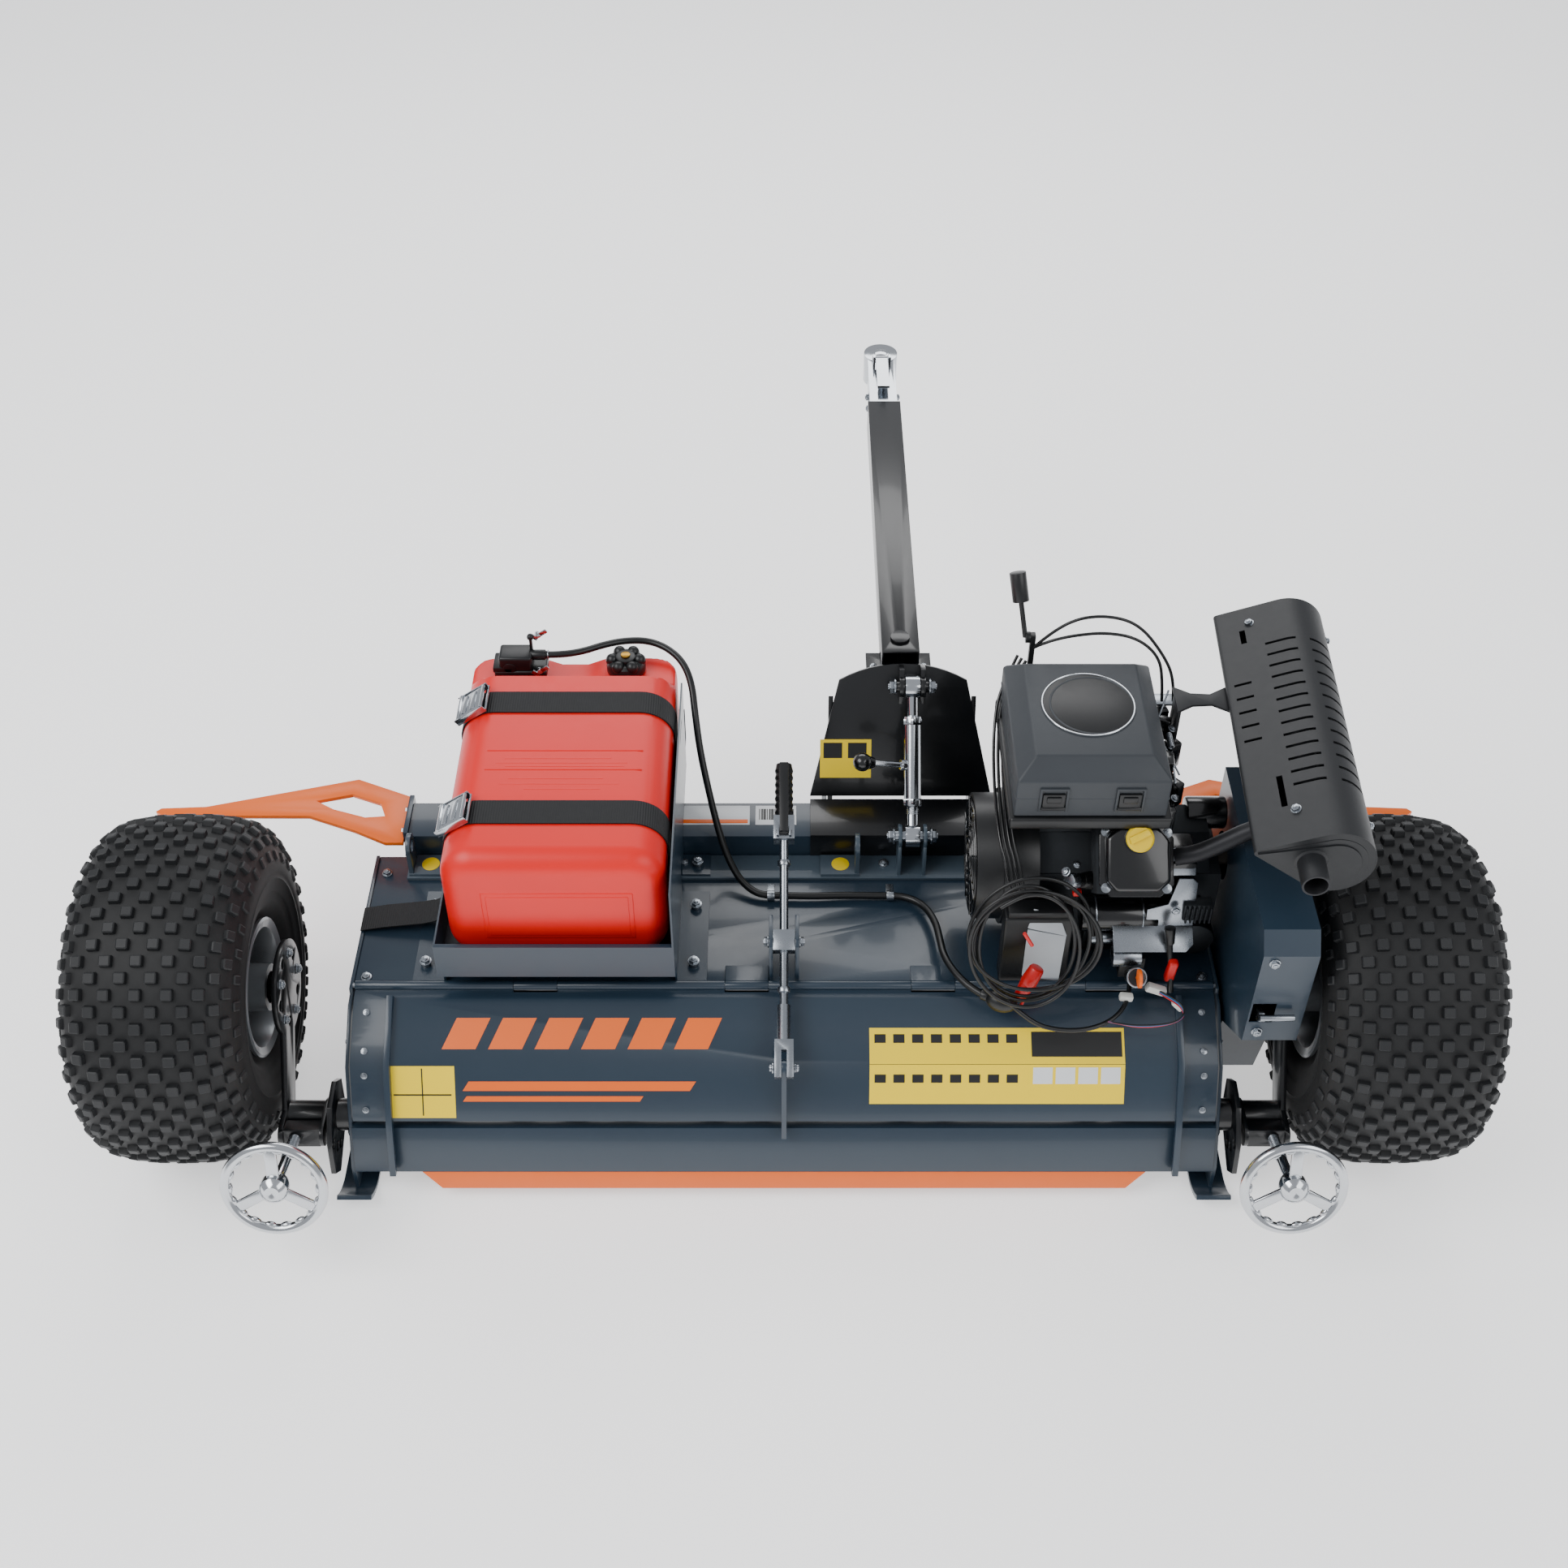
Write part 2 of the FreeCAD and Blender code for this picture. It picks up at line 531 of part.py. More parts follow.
def engine():
    """The V-twin engine, its cooling housing, filter, starter and controls."""
    case = box("crankcase", ("engine_right - engine_left", 153, 180), ("engine_left", 80, "deck_top"))
    shoulder = profile("shoulder", "YZ", [(82, 440), (231, 440), (231, 462), (186, 510), (124, 510), (82, 462)],
                       "engine_right - engine_left - 20", "engine_left")
    intake = box("intake", (120, 60, 115), (400, 125, 510))
    bore = rod("crank_bore", "15 + running_fit", 60, ("engine_right - 58", "crank_y", "crank_z"), X)
    node(cut("engine_block_solid", fuse("engine_blank", case, shoulder, intake), bore), "engine_block")
    cylinders = [solid("cylinder_rear", cylinder_shape(538, -45)), solid("cylinder_front", cylinder_shape(556, 45))]
    node(group("cylinder_pair", *cylinders), "cylinders")
    covers = [solid("cover_rear", cover_shape(538, -45)), solid("cover_front", cover_shape(556, 45))]
    node(group("cover_pair", *covers), "valve_covers")

    drum = rod("blower_drum", 110, 55, ("filter_left", "crank_y", "crank_z"), X)
    screen = rod("blower_screen", 102, 42, (303, "crank_y", "crank_z"), X)
    post = box("lever_post", (8, 12, 130), (386, 320, 616))
    stay = box("lever_stay", (8, 100, 12), (386, 232, 604))
    web = box("lever_web", (8, 12, 120), (386, 232, 496))
    node(fuse("blower_solid", drum, screen, post, stay, web), "blower_housing")
    block = box("filter_block", ("filter_right - filter_left", "filter_front - filter_rear", "filter_top - filter_base"),
                ("filter_left", "filter_rear", "filter_base"))
    top_edges = lambda edge: edge.BoundBox.ZMin > 720
    node(trim_edges("Part::Chamfer", "filter_cover_solid", block, 28, top_edges), "filter_cover")
    lean = Vector(0, -math.sin(math.pi / 4), math.cos(math.pi / 4))
    seat = Vector(538, dim.crank_y, dim.crank_z) + lean * 200.5 + Vector(0, 21, 21)
    node(solid("oil_cap_solid", Part.makeCylinder(19, 16, seat, lean)), "oil_cap")
    node(fuse("starter_solid", rod("starter_can", 28, 120, (470, 51, 400), X),
              rod("starter_nose", 20, 40, (590, 51, 400), X)), "starter_motor")
    switch = Part.makeCylinder(14, 40, Vector(552, -22, 335), Vector(0, -0.7, 0.7))
    foot = Part.makeBox(40, 84, 8, Vector(532, -4, 314)).fuse(Part.makeBox(40, 8, 44, Vector(532, -8, 314)))
    node(solid("switch_solid", foot.fuse(switch)), "key_switch")
    aim = Vector(0, -0.7071, 0.7071)
    key_base = Vector(552, -22, 335) + aim * 40.3
    fob = Part.makeCylinder(15, 5, key_base + Vector(-2.5, 0, 0) + aim * 20, X)
    stem = Part.makeBox(5, 4, 10, Vector(-2.5, -2, 0))
    stem.Placement = Placement(key_base, Rotation(Z, aim))
    node(solid("key_solid", fob.fuse(stem)), "ignition_key")
    node(box("battery_case", (110, 34.5, 165), (345, 10, "deck_top")), "battery")
    lever = Part.makeCylinder(4, 60, Vector(378, 326, 740), Vector(-0.15, 0.45, 0.88))
    knob = Part.makeCylinder(13, 46, Vector(378, 326, 740) + Vector(-0.15, 0.45, 0.88) * 58, Vector(-0.15, 0.45, 0.88))
    hub = Part.makeCylinder(9, 7.5, Vector(378.2, 326, 740), X)
    node(solid("lever_solid", lever.fuse([knob, hub])), "throttle_lever")


def exhaust():
    """The muffler with its pipes, and the guard around it, which narrows to a corner on its left."""
    turned_by = Rotation(Z, 90 - dim.guard_yaw)
    place = Placement(Vector(dim.muffler_x, dim.guard_rear, dim.muffler_z), turned_by)
    wall, length, corner = dim.guard_wall, dim.guard_length, dim.guard_corner
    inside = dim.guard_radius - wall

    can = Part.makeCylinder(dim.muffler_radius, length - 28, Vector(14, 0, 0), X)
    rings = [Part.makeCylinder(inside, 5, Vector(u, 0, 0), X) for u in (60, 440)]
    tail = Part.makeCylinder(20, 70, Vector(-51, 35, 3), X)
    hollow = Part.makeCylinder(17, 72, Vector(-52, 35, 3), X)
    outer = hull_face([(0, 0, dim.guard_radius), (corner, 13, 5)], length, 0)
    inner = hull_face([(0, 0, inside), (corner, 13, 5 - wall)], length - 8, 4)
    window = Part.makeCylinder(23, 30, Vector(-10, 35, 3), X)
    for shape in [can, tail, hollow, outer, inner, window] + rings:
        shape.Placement = place.multiply(shape.Placement)

    route = [(606, 66, 514), (640, 64, 524), (674, 62, 549), (712, 62, 578), (756, 62, 594), (788, 64, 638)]
    pipe, passage = cord(route, 14, "exhaust pipe"), cord(route, 17, "pipe passage")
    node(solid("muffler_solid", can.fuse(rings + [tail, pipe]).cut(hollow)), "muffler")
    stay = Part.makeBox(91, 40, 5, Vector(615, 236, 668)).fuse(Part.makeBox(5, 40, 134, Vector(615, 236, 539)))
    guard = outer.fuse(stay).cut(inner).cut(window).cut(passage)
    node(solid("muffler_guard_solid", guard), "muffler_guard")


def cables():
    """The hanks of the wiring harness: one loose coil and the tail that leaves it."""
    torus = Part.makeTorus(95, 18)
    torus.Placement = Placement(Vector(380, -48, 440), Rotation(Z, Vector(0, -0.951, 0.309)))
    node(solid("coil_solid", torus), "harness_coil")
    route = [(350, -82, 342), (384, -104, 318), (430, -112, 308), (478, -108, 306), (520, -88, 308),
             (546, -52, 314), (552, -8.4, 318)]
    node(solid("tail_solid", cord(route, 3.75, "harness tail")), "harness_tail")


# ---------------------------------------------------------------- belt drive and rotor

def belt_drive():
    """Pulleys, belt, idler and the guard around them."""
    shaft = rod("crank_shaft", 15, "pulley_x + pulley_width + 5 - engine_right + 55",
                ("engine_right - 55", "crank_y", "crank_z"), X)
    wheel = rod("crank_wheel", "crank_pulley", "pulley_width", ("pulley_x", "crank_y", "crank_z"), X)
    node(fuse("crank_solid", shaft, wheel), "crank_pulley")
    low, high = (dim.rotor_y, dim.rotor_z), (dim.crank_y, dim.crank_z)

    def loop(grow, along, start):
        return hull_face([(*low, dim.rotor_pulley + grow), (*high, dim.crank_pulley + grow)], along, start)

    width = dim.pulley_width - 6
    x = dim.pulley_x + 3
    belt = loop(0.4 + dim.belt_thick, width, x).cut(loop(0.4, width + 2, x - 1))
    node(solid("belt_solid", belt), "drive_belt")

    arm = hull_face([(-8, 292, 14), (-140, 380, 9)], 8, 722)
    pulley = Part.makeCylinder(30, 24, Vector(748, -8, 292), X)
    stud = Part.makeCylinder(8, 22, Vector(728, -8, 292), X)
    boss = Part.makeCylinder(12, 10.7, Vector(711.3, -60, 326.7), X)
    pin = Part.makeCylinder(5, 52, Vector(722, -150, 387), X).fuse(Part.makeBox(8, 16, 8, Vector(722, -152, 380)))
    node(solid("idler_solid", arm.fuse([pulley, stud, boss, pin])), "belt_idler")

    outline = [(-138, 318), (-138, 515), (-111, 545), (236, 545), (236, 70), (4, 70), (-34, 236)]
    outer = profile("guard_outer", "YZ", outline, 81, 711)
    inset = [(-136, 319.4), (-136, 514), (-110, 543), (234, 543), (234, 72), (5.6, 72), (-32.3, 237.2)]
    inner = profile("guard_inner", "YZ", inset, 79, 711)
    slot = box("guard_slot", (36, 20, 44), (711, -148, 362))
    back = profile("guard_back", "YZ", outline, 3, 708,
                   holes=[(dim.crank_y, dim.crank_z, 40), (dim.rotor_y, dim.rotor_z, 40)])
    node(group("belt_guard_group", cut("guard_cover", outer, inner, slot), back), "belt_guard")


def rotor():
    """The cutting rotor with its pulley, its flails and its two bearings."""
    parts = [rod("rotor_tube", "rotor_radius", 1340, (-670, "rotor_y", "rotor_z"), X),
             rod("rotor_axle", "rotor_shaft", 1502, (-722, "rotor_y", "rotor_z"), X),
             rod("rotor_wheel", "rotor_pulley", "pulley_width", ("pulley_x", "rotor_y", "rotor_z"), X)]
    node(fuse("rotor_solid", *parts), "rotor")
    flails = []
    stations, rows = 16, 2
    for index in range(stations):
        x = -630 + index * 1260 / (stations - 1)
        for side in range(rows):
            angle = 25 + 48 * index + 180 * side
            blade = Part.makeBox(44, 7, dim.flail_radius - dim.rotor_radius - 1, Vector(-22, -3.5, dim.rotor_radius + 1))
            blade.Placement = Placement(Vector(x, dim.rotor_y, dim.rotor_z), Rotation(X, angle))
            flails.append(solid(f"flail_{index}_{side}", blade))
    node(group("flail_set", *flails), "flails")
    bearings = []
    for side in (-1, 1):
        start = -720 if side < 0 else 700
        width = 20 if side < 0 else 7.5
        shell = Part.makeCylinder(52, width, Vector(start, dim.rotor_y, dim.rotor_z), X)
        hole = Part.makeCylinder(dim.rotor_shaft + dim.running_fit, 40, Vector(start - 5, dim.rotor_y, dim.rotor_z), X)
        bearings.append(solid(f"bearing_{side + 1}", shell.cut(hole)))
    node(group("bearing_pair", *bearings), "rotor_bearings")


# ---------------------------------------------------------------- wheels

def wheel_side(side, label):
    """Everything that one wheel arm carries; side is -1 for left and 1 for right."""
    pivot = Vector(0, dim.arm_pivot_y, dim.arm_pivot_z)
    hub = Vector(0, 0, dim.axle_z)

    def span(first, last):
        return min(side * first, side * last)

    def bar(radius, first, last, centre):
        return Part.makeCylinder(radius, last - first, Vector(span(first, last), centre.y, centre.z), X)

    plate = hull_face([(pivot.y, pivot.z, 27), (hub.y, hub.z, 34)], 8, span(798, 806))
    disc = bar(78, 798, 806, hub)
    inner = hull_face([(-176, 127, 20), (pivot.y, pivot.z, 27)], 6, span(734, 740))
    outer = hull_face([(-176, 127, 20), (pivot.y, pivot.z, 27)], 8, span(798, 806))
    shaft = bar(dim.arm_shaft_radius, 701, 806, pivot)
    sleeve = bar(23, 740, 798, pivot)
    stub = bar(dim.stub_radius, 798, 922, hub)
    arm = plate.fuse([disc, inner, outer, shaft, sleeve, stub])
    for index in range(5):
        angle = math.radians(18 + 72 * index)
        arm = arm.cut(bar(9, 790, 812, hub + Vector(0, 56 * math.cos(angle), 56 * math.sin(angle))))
    block_at = Vector(side * 769, -176, 127)
    rise = math.radians(dim.screw_rise)
    out = Vector(0, -math.cos(rise), math.sin(rise))
    block = Part.makeBox(58, 30, 30, Vector(-29, -15, -15))
    block.Placement = Placement(block_at, Rotation(Y, out))
    wheel_at = Vector(side * dim.handwheel_x, dim.handwheel_y, dim.handwheel_z)
    screw_line = wheel_at - out * 175
    bore = Part.makeCylinder(dim.screw_radius + dim.running_fit, 60, screw_line, out)
    node(solid(f"wheel_arm_{label}_solid", arm.fuse(block).cut(bore)), f"wheel_arm_{label}")

    ring = Part.makeTorus(dim.handwheel_radius - 8, 8)
    ring.Placement = Placement(wheel_at, Rotation(Z, out))
    spokes = []
    for index in range(3):
        spoke = Part.makeBox(16, 70, 7, Vector(-8, 4, -3.5))
        spoke.Placement = Placement(wheel_at, Rotation(Z, out).multiply(Rotation(Z, 90 + 120 * index)))
        spokes.append(spoke)
    boss = Part.makeCylinder(17, 34, wheel_at - out * 17, out)
    screw = Part.makeCylinder(dim.screw_radius, 160, screw_line + out * 6, out)
    node(solid(f"handwheel_{label}_solid", ring.fuse(spokes + [boss, screw])), f"handwheel_{label}")

    def at_side(points):
        return [(side * along, radius) for along, radius in points]

    place = (f"{side} * wheel_x", 0, "axle_z")
    fit = dim.stub_radius + dim.running_fit
    rim = [(-128, fit), (-40, fit), (-40, 38), (-46, 60), (-46, 94), (112, 94), (112, 110), (106, 110),
           (106, 101.5), (-112, 101.5), (-112, 110), (-118, 110), (-118, 94), (-60, 94), (-60, 60),
           (-64, 40), (-128, 38)]
    node(turned(f"wheel_rim_{label}_body", at_side(rim), place), f"wheel_rim_{label}")
    tyre_line = [(-104, 101.6), (-104, 112), (-126, 126), (-139, 170), (-137, 215), (-124, 252), (-96, 270),
                 (-50, 277.5), (0, 279.5), (50, 277.5), (96, 270), (124, 252), (137, 215), (139, 170),
                 (126, 126), (104, 112), (104, 101.6), (84, 101.6), (100, 126), (124, 172), (122, 213),
                 (110, 240), (88, 252), (0, 258), (-88, 252), (-110, 240), (-122, 213), (-124, 172),
                 (-100, 126), (-84, 101.6)]
    node(turned(f"tyre_{label}_body", at_side(tyre_line), place), f"tyre_{label}")


def frame_brackets():
    """The quadrant plates that carry the wheel arms' shafts, and the hitch's saddle on the beam."""
    brackets = []
    for side in (-1, 1):
        x = -728 if side < 0 else 720
        outline = [(-150, 60), (-96, 82), (-84, 150), (-110, 176), (-160, 172), (-200, 128), (-214, 70), (-190, 44)]
        plate = profile(f"quadrant_{side + 1}", "YZ", outline, 8, x,
                        holes=[(-132, 118, 16.05), (-176, 92, 9), (-190, 118, 9), (-160, 78, 9)])
        stem = Part.makeCylinder(26, 20, Vector(-720 if side < 0 else 700, -132, 118), X)
        stem = stem.cut(Part.makeCylinder(16.05, 24, Vector(-722 if side < 0 else 698, -132, 118), X))
        brackets.append(fuse(f"bracket_{side + 1}", plate, solid(f"stem_{side + 1}", stem)))
    top = box("saddle_top", (314, 88, 6), ("hitch_x - 157", 286.5, 330))
    rear = box("saddle_rear", (314, 3.5, 43.7), ("hitch_x - 157", 286.5, 286.3))
    node(group("bracket_set", *brackets, fuse("saddle", top, rear)), "frame_brackets")


# ---------------------------------------------------------------- hitch

def hitch():
    """The pitching hitch carrier, the drawbar, the ball coupler and the top link."""
    x0 = dim.hitch_x
    foot, peak = Vector(0, 384, 334), Vector(0, 480, 553)
    slope = math.degrees(math.atan2(peak.z - foot.z, peak.y - foot.y))
    reach = (peak - foot).Length
    fan_outline = [(-157, 0), (157, 0)] + arc_points((0, reach - 217), 217, 60, 120, 12)
    fan = Part.Face(Part.makePolygon([Vector(a, b, 0) for a, b in fan_outline + fan_outline[:1]])).extrude(Z * -6)
    fan.Placement = Placement(foot + X * x0, Rotation(X, slope))
    cheek_line = [(386, 283), (412, 283), (470, 440), (463.5, 495), (394, 335), (386, 335)]
    gusset_line = [(459, 440), (466, 440), (562, 489), (562, 496), (464, 496)]
    cheeks = []
    for x, outline in ((x0 - 126, cheek_line), (x0 + 118, cheek_line), (x0 - 56, gusset_line), (x0 + 40, gusset_line)):
        points = [Vector(x, y, z) for y, z in outline + outline[:1]]
        cheeks.append(Part.Face(Part.makePolygon(points)).extrude(X * 8))
    tongue = Part.makeBox(112, 108, 6.7, Vector(x0 - 60, 461, 495))
    pin = Part.makeCylinder(10, 74, Vector(dim.drawbar_x, dim.swing_y, 495), Z)
    head = Part.makeCylinder(16, 4, Vector(dim.drawbar_x, dim.swing_y, 566.4), Z)
    lugs = []
    for x in (dim.link_x - 22, dim.link_x + 14):
        lug = Part.makeCylinder(17, 8, Vector(x, dim.link_high_y, dim.link_high_z), X)
        web = Part.makeBox(8, 60, 32, Vector(0, -30, -32))
        web.Placement = Placement(Vector(x, dim.link_high_y, dim.link_high_z), Rotation(X, slope))
        lugs += [lug, web]
    link_pin = Part.makeCylinder(dim.link_pin, 62, Vector(dim.link_x - 31, dim.link_high_y, dim.link_high_z), X)
    axle = Part.makeCylinder(8 + dim.running_fit, 340, Vector(x0 - 170, dim.pitch_y, dim.pitch_z), X)
    carrier = fan.fuse([tongue, pin, head, link_pin] + cheeks + lugs).cut(axle)
    node(solid("hitch_carrier_solid", carrier), "hitch_carrier")

    size, wall = dim.drawbar_size, 4
    low = Vector(dim.drawbar_x - size / 2, dim.drawbar_rear, dim.drawbar_base)
    length = dim.drawbar_front - dim.drawbar_rear
    tube = Part.makeBox(size, length, size, low)
    tube = tube.cut(Part.makeBox(size - 2 * wall, length - 80, size - 2 * wall, low + Vector(wall, -40, wall)))
    hole = Part.makeCylinder(10 + dim.running_fit, size + 4, Vector(dim.drawbar_x, dim.swing_y, dim.drawbar_base - 2), Z)
    node(solid("drawbar_solid", tube.cut(hole)), "drawbar")

    cx, cy = dim.drawbar_x, dim.coupler_y
    neck = Part.makeBox(54, cy - dim.drawbar_front, 50, Vector(cx - 27, dim.drawbar_front, 508))
    dome = Part.makeCylinder(34, 62, Vector(cx, cy, 498), Z)
    crown = Part.makeSphere(34, Vector(cx, cy, 530))
    ball = Part.makeSphere(dim.ball_radius, Vector(cx, cy, 523))
    mouth = Part.makeCylinder(dim.ball_radius, 30, Vector(cx, cy, 493), Z)
    ears = []
    for x in (cx - 18, cx + 13):
        ear = Part.makeBox(5, 26, 34, Vector(x, 1390, 552))
        ears.append(ear.cut(Part.makeCylinder(5.05, 9, Vector(x - 2, 1403, 576), X)))
    node(solid("coupler_solid", neck.fuse([dome, crown] + ears).cut(ball).cut(mouth)), "ball_coupler")
    bar = Part.makeBox(24, 112, 6, Vector(cx - 12, 1296, 573))
    pivot = Part.makeCylinder(5, 38, Vector(cx - 19, 1403, 576), X)
    node(solid("latch_solid", bar.fuse(pivot)), "coupler_latch")

    low_pin = Vector(dim.link_x, dim.link_low_y, dim.link_low_z)
    high_pin = Vector(dim.link_x, dim.link_high_y, dim.link_high_z)
    along = (high_pin - low_pin).normalize()
    for label, centre, way, clearance in (("lower", low_pin, along, dim.running_fit), ("upper", high_pin, along * -1, 1.2)):
        eye = Part.makeCylinder(19, 24, centre - X * 12, X)
        stem = Part.makeCylinder(9, 74, centre + way * 10, way)
        hole = Part.makeCylinder(dim.link_pin + clearance, 30, centre - X * 15, X)
        node(solid(f"toplink_{label}_solid", eye.fuse(stem).cut(hole)), f"toplink_{label}_eye")
    sleeve = Part.makeCylinder(16, 150, low_pin + along * 50, along)
    bore = Part.makeCylinder(9.05, 160, low_pin + along * 45, along)
    middle = low_pin + along * 118
    way = Vector(-0.94, -0.2, 0.28).normalize()
    handle = Part.makeCylinder(5, 78, middle, way)
    knob = Part.makeCylinder(16, 26, middle + way * 78, way)
    node(solid("toplink_body_solid", sleeve.fuse([handle, knob]).cut(bore)), "toplink_body")


# ---------------------------------------------------------------- fasteners

def fasteners():
    """Bolts, hinge rod, hitch pivot pins and hose clips: all zinc plated."""
    parts = [rod("hinge_rod", "hinge_pin_radius", "2*deck_half - 12", ("6 - deck_half", 0, "hinge_z"), X)]
    for index, x in enumerate((60, 312)):
        parts.append(rod(f"pitch_pin_{index}", 8, 32, (x, "pitch_y", "pitch_z"), X))
    parts.append(rod("link_pin_low", "link_pin", 66, ("link_x - 33", "link_low_y", "link_low_z"), X))
    places = [(-582, 45, 283), (-582, 170, 283), (-147, 45, 283), (-147, 170, 283), (-147, 263, 289)]
    for index, (x, y, z) in enumerate(places):
        parts.append(solid(f"bolt_{index}", Part.makeCylinder(8, 7, Vector(x, y, z), Z)))
    for index, x in enumerate((-28, 172)):
        clip = Part.makeBox(12, 34, 2, Vector(x, 190, 280))
        ring = Part.makeCylinder(8.5, 12, Vector(x, 190, 290), X).cut(Part.makeCylinder(6.9, 12, Vector(x, 190, 290), X))
        parts.append(solid(f"clip_{index}", clip.fuse(ring)))
    node(group("fastener_group", *parts), "fasteners")


def write_files():
    """Check every object and write one file for each sub-part."""
    DOC.recompute()
    failed = [obj.Name for obj in DOC.Objects if {"Invalid", "Error"} & set(obj.State)]
    bad = [obj.Label for obj in NODES if obj.Shape.isNull() or not obj.Shape.isValid()]
    if failed or bad:
        raise RuntimeError(f"failed objects {failed}, bad shapes {bad}")
    os.makedirs("parts", exist_ok=True)
    for obj in NODES:
        obj.Shape.exportStep(f"parts/{obj.Label}.step")
    print(len(NODES), "sub-parts written")


deck()
shelf()
sides()
beam()
bumper_arms()
rear_bar()
hood()
adjuster()
fuel()
fuel_line()
engine()
exhaust()
cables()
belt_drive()
rotor()
wheel_side(-1, "left")
wheel_side(1, "right")
frame_brackets()
hitch()
fasteners()
write_files()
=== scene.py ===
"""Looks of a towed flail brush mower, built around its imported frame.

Sizes are written in millimetres from the middle of the wheel axle: X to the
machine's right, Y forwards to the ball coupler and Z up from the ground. The
function at() turns them into the frame's metres.
"""
import json
import logging
import math
from dataclasses import dataclass, field
from enum import Enum
from typing import Iterable, Optional, Sequence

import bmesh
import bpy
from mathutils import Matrix, Vector

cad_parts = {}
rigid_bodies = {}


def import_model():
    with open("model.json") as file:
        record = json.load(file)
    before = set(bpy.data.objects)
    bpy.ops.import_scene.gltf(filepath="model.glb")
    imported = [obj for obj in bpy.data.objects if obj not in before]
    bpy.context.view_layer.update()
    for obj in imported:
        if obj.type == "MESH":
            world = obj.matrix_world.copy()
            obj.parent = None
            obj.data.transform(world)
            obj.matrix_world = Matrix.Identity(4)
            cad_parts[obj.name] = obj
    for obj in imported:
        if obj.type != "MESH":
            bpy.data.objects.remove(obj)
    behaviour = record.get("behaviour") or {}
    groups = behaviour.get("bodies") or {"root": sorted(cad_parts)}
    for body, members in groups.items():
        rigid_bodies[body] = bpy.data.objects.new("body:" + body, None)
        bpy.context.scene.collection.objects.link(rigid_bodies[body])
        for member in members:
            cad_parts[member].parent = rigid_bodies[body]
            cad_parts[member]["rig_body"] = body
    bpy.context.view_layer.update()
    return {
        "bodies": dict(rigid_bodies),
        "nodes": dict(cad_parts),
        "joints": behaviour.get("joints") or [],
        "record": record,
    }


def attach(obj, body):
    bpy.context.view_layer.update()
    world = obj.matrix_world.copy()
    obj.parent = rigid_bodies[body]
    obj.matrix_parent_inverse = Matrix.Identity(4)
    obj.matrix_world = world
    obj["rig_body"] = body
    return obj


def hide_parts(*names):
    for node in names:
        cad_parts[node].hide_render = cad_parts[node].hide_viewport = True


LOG = logging.getLogger("brush_mower")
MM = 0.001
AXLE_Y = -562.0
X, Y, Z = Vector((1, 0, 0)), Vector((0, 1, 0)), Vector((0, 0, 1))
Triple = Sequence[float]


def at(x: float, y: float, z: float) -> Vector:
    """A place in the frame, in metres, from millimetres measured from the axle."""
    return Vector((x, y + AXLE_Y, z)) * MM


def toward(direction: Triple, roll: float = 0.0) -> Matrix:
    """The turn that takes Z to a direction, after a roll about Z in degrees."""
    return Vector(direction).to_track_quat("Z",
                                           "Y").to_matrix().to_4x4() @ Matrix.Rotation(math.radians(roll),
                                                                                       4, "Z")


def linear(code: str) -> tuple[float, float, float, float]:
    """The linear colour of an sRGB hex code such as "#8090A0".

    Args:
        code: The hex code, with its hash.

    Returns:
        Red, green, blue and alpha for a shader.
    """
    parts = [int(code[i:i + 2], 16) / 255 for i in (1, 3, 5)]
    return tuple(c / 12.92 if c <= 0.04045 else ((c + 0.055) / 1.055) ** 2.4 for c in parts) + (1.0,)


# ---------------------------------------------------------------- finishes

class Grain(Enum):
    """How a surface was made, which sets its fine relief."""

    POWDER = "orange peel of a baked powder coat"
    BRUSHED = "fine drawn lines along one way"
    CAST = "sand-cast pits"
    MOULDED = "spark-eroded texture of moulded plastic"
    RUBBER = "dull cured rubber"
    WOVEN = "ribs of a webbing, along its length"


def add_node(tree: bpy.types.NodeTree, kind: str, links: Optional[dict] = None, **settings) -> bpy.types.Node:
    """Add one shader node with its settings and its links.

    Args:
        tree: The material's node tree.
        kind: The node's type name.
        links: Input name or index to the output socket that feeds it.
        **settings: Properties of the node, or with "in_" before its name an input's value.

    Returns:
        The new node.
    """
    node = tree.nodes.new(kind)
    for key, value in settings.items():
        if key.startswith("in_"):
            name = key[3:].replace("_", " ")
            node.inputs[int(name) if name.isdigit() else name].default_value = value
        else:
            setattr(node, key, value)
    for key, socket in (links or {}).items():
        tree.links.new(socket, node.inputs[key])
    return node


